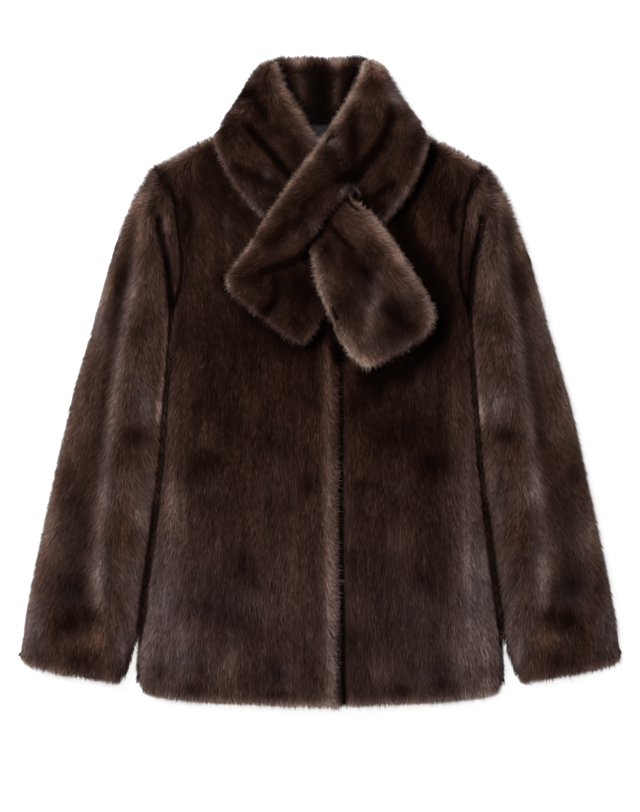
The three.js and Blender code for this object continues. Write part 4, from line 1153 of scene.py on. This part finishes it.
BROWN_STOPS = [
    (0.0, colour(8, 4, 3)),
    (0.25, colour(27, 13, 8)),
    (0.45, colour(57, 36, 27)),
    (0.62, colour(95, 67, 53)),
    (0.8, colour(146, 112, 92)),
    (1.0, colour(222, 188, 162)),
]
SILVER_SHEEN_STOPS = [
    (0.0, colour(6, 5, 5)),
    (0.25, colour(24, 18, 17)),
    (0.45, colour(54, 43, 42)),
    (0.62, colour(88, 75, 75)),
    (0.8, colour(140, 126, 127)),
    (1.0, colour(220, 208, 208)),
]


# Numbers of a colour mix node's sockets, which share their names with its other sockets
MIX_A, MIX_B, MIX_RESULT = 6, 7, 2


def fur_material():
    """Brown or silver by the hair's share of silver and painted sheen, as light as its tone, almost
    without gloss.
    """
    material, nodes, links, shader = new_material("fur")
    tone = nodes.new("ShaderNodeAttribute")
    tone.attribute_name = "tone"
    silver_sheen = nodes.new("ShaderNodeAttribute")
    silver_sheen.attribute_name = "silver_sheen"
    mix = nodes.new("ShaderNodeMix")
    mix.data_type = "RGBA"
    for stops, socket in ((BROWN_STOPS, MIX_A), (SILVER_SHEEN_STOPS, MIX_B)):
        hues = ramp(nodes, stops)
        links.new(tone.outputs["Fac"], hues.inputs["Fac"])
        links.new(hues.outputs["Color"], mix.inputs[socket])
    links.new(silver_sheen.outputs["Fac"], mix.inputs["Factor"])
    links.new(mix.outputs[MIX_RESULT], shader.inputs["Base Color"])
    shader.inputs["Roughness"].default_value = 0.6
    shader.inputs["Specular IOR Level"].default_value = 0.012
    shader.inputs["Specular Tint"].default_value = (1, 0.8, 0.66, 1)
    return material


def patterned_material(name, kind, pattern, stretch, hues, bump, gloss):
    """Material with one procedural pattern in its colour and in a fine bump."""
    material, nodes, links, shader = new_material(name)
    place = nodes.new("ShaderNodeTexCoord")
    mapping = nodes.new("ShaderNodeMapping")
    mapping.inputs["Scale"].default_value = stretch
    texture = nodes.new(kind)
    for socket, value in pattern.items():
        texture.inputs[socket].default_value = value
    colours = ramp(nodes, hues)
    relief = nodes.new("ShaderNodeBump")
    relief.inputs["Strength"].default_value, relief.inputs["Distance"].default_value = bump
    links.new(place.outputs["Object"], mapping.inputs["Vector"])
    links.new(mapping.outputs["Vector"], texture.inputs["Vector"])
    links.new(texture.outputs["Fac"], colours.inputs["Fac"])
    links.new(texture.outputs["Fac"], relief.inputs["Height"])
    links.new(colours.outputs["Color"], shader.inputs["Base Color"])
    links.new(relief.outputs["Normal"], shader.inputs["Normal"])
    roughness, specular = gloss
    shader.inputs["Roughness"].default_value = roughness
    shader.inputs["Specular IOR Level"].default_value = specular
    return material


def shaded_ground_material():
    """Ground between the hairs, dark as painted shade at their roots."""
    return patterned_material(
        "fur_ground_shade", "ShaderNodeTexNoise", {"Scale": 1, "Detail": 3}, stretch=(420, 70, 70),
        hues=[(0.3, colour(10, 6, 4)), (0.7, colour(26, 15, 11))],
        bump=(0.6, 1 * MM), gloss=(0.9, 0.02),
    )


def satin_material():
    """Dark grey satin with a fine weave."""
    return patterned_material(
        "satin", "ShaderNodeTexWave", {"Scale": 900, "Distortion": 2}, stretch=(1, 1, 1),
        hues=[(0.0, colour(15, 14, 16)), (1.0, colour(25, 24, 27))],
        bump=(0.2, 0.1 * MM), gloss=(0.5, 0.12),
    )


def smooth_shaded(mesh):
    mesh.polygons.foreach_set("use_smooth", np.ones(len(mesh.polygons), bool))


def add_panel(name, panel, hair, ground):
    """Skin and fur of one panel."""
    skin = Skin(name, panel)
    smooth_shaded(skin.mesh)
    base = object_of(name + "_skin", skin.mesh, ground)
    hairs = object_of(name + "_fur", fur_mesh(name + "_fur", Fur(skin, panel)), hair)
    for piece in (base, hairs):
        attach(piece, "root")
    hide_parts(name)


# Satin at the neck: height and cells of its soft wrinkles
WRINKLE = 0.4 * MM
WRINKLE_CELL = (9, 30)


def add_lining(satin):
    """Satin at the neck, with soft wrinkles on its top."""
    mesh = refined(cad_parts["neck_lining"], 2)
    points, triangles, _ = arrays(mesh)
    upward = smooth(normals_of(points, triangles)[:, 2], 0.3, 0.9)
    x, y = place_of(points)
    points[:, 2] += WRINKLE * upward * noise(x, y, *WRINKLE_CELL, 71)
    mesh.vertices.foreach_set("co", points.ravel())
    smooth_shaded(mesh)
    piece = object_of("neck_lining_satin", mesh, satin)
    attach(piece, "root")
    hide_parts("neck_lining")


hair_material = fur_material()
shaded_ground = shaded_ground_material()
for panel_name, panel_facts in PANELS.items():
    add_panel(panel_name, panel_facts, hair_material, shaded_ground)
add_lining(satin_material())


# Camera straight above, as in the photo: height of its frame, and its place over the coat
FRAME_HEIGHT = 974.4 * MM
VIEW_HEIGHT = 3.0
COAT_LEVEL = 30 * MM
CAMERA_X = -0.6 * MM
CAMERA_Y = -27.6 * MM
SENSOR = 36

camera_data = bpy.data.cameras.new("camera")
camera_data.sensor_width = SENSOR
camera_data.lens = SENSOR * VIEW_HEIGHT / FRAME_HEIGHT
camera = bpy.data.objects.new("camera", camera_data)
camera.location = (CAMERA_X, CAMERA_Y, VIEW_HEIGHT + COAT_LEVEL)
bpy.context.scene.collection.objects.link(camera)
bpy.context.scene.camera = camera

# Square soft lights that face the coat's middle: name, place, size and power
LIGHTS = [
    ("key", (-1.3, 1.0, 1.9), 0.9, 110),
    ("fill", (1.8, 0.2, 1.3), 1.6, 6),
    ("foot", (0.0, -1.9, 1.2), 1.6, 8),
]
WORLD_LIGHT = 0.14
FLOOR_LEVEL = -0.5 * MM
FLOOR_HALF = 4
FLOOR_GREY = 0.5
FLOOR_GLOW = 0.85

for light_name, light_place, size, energy in LIGHTS:
    light_data = bpy.data.lights.new(light_name, "AREA")
    light_data.size = size
    light_data.energy = energy
    light = bpy.data.objects.new(light_name, light_data)
    light.location = light_place
    light.rotation_euler = (-Vector(light_place)).to_track_quat("-Z", "Y").to_euler()
    bpy.context.scene.collection.objects.link(light)

world = bpy.data.worlds.new("studio")
world.use_nodes = True
background = world.node_tree.nodes["Background"]
background.inputs["Color"].default_value = (1, 1, 1, 1)
background.inputs["Strength"].default_value = WORLD_LIGHT
bpy.context.scene.world = world

floor_material, _, _, floor_shader = new_material("floor")
floor_shader.inputs["Base Color"].default_value = (FLOOR_GREY, FLOOR_GREY, FLOOR_GREY, 1)
floor_shader.inputs["Roughness"].default_value = 0.9
floor_shader.inputs["Emission Color"].default_value = (1, 1, 1, 1)
floor_shader.inputs["Emission Strength"].default_value = FLOOR_GLOW
floor_corners = [
    (side_x * FLOOR_HALF, side_y * FLOOR_HALF, FLOOR_LEVEL)
    for side_x, side_y in ((-1, -1), (1, -1), (1, 1), (-1, 1))
]
floor_mesh = bpy.data.meshes.new("floor")
floor_mesh.from_pydata(floor_corners, [], [(0, 1, 2, 3)])
floor = object_of("floor", floor_mesh, floor_material)

bpy.context.scene.view_settings.view_transform = "Standard"
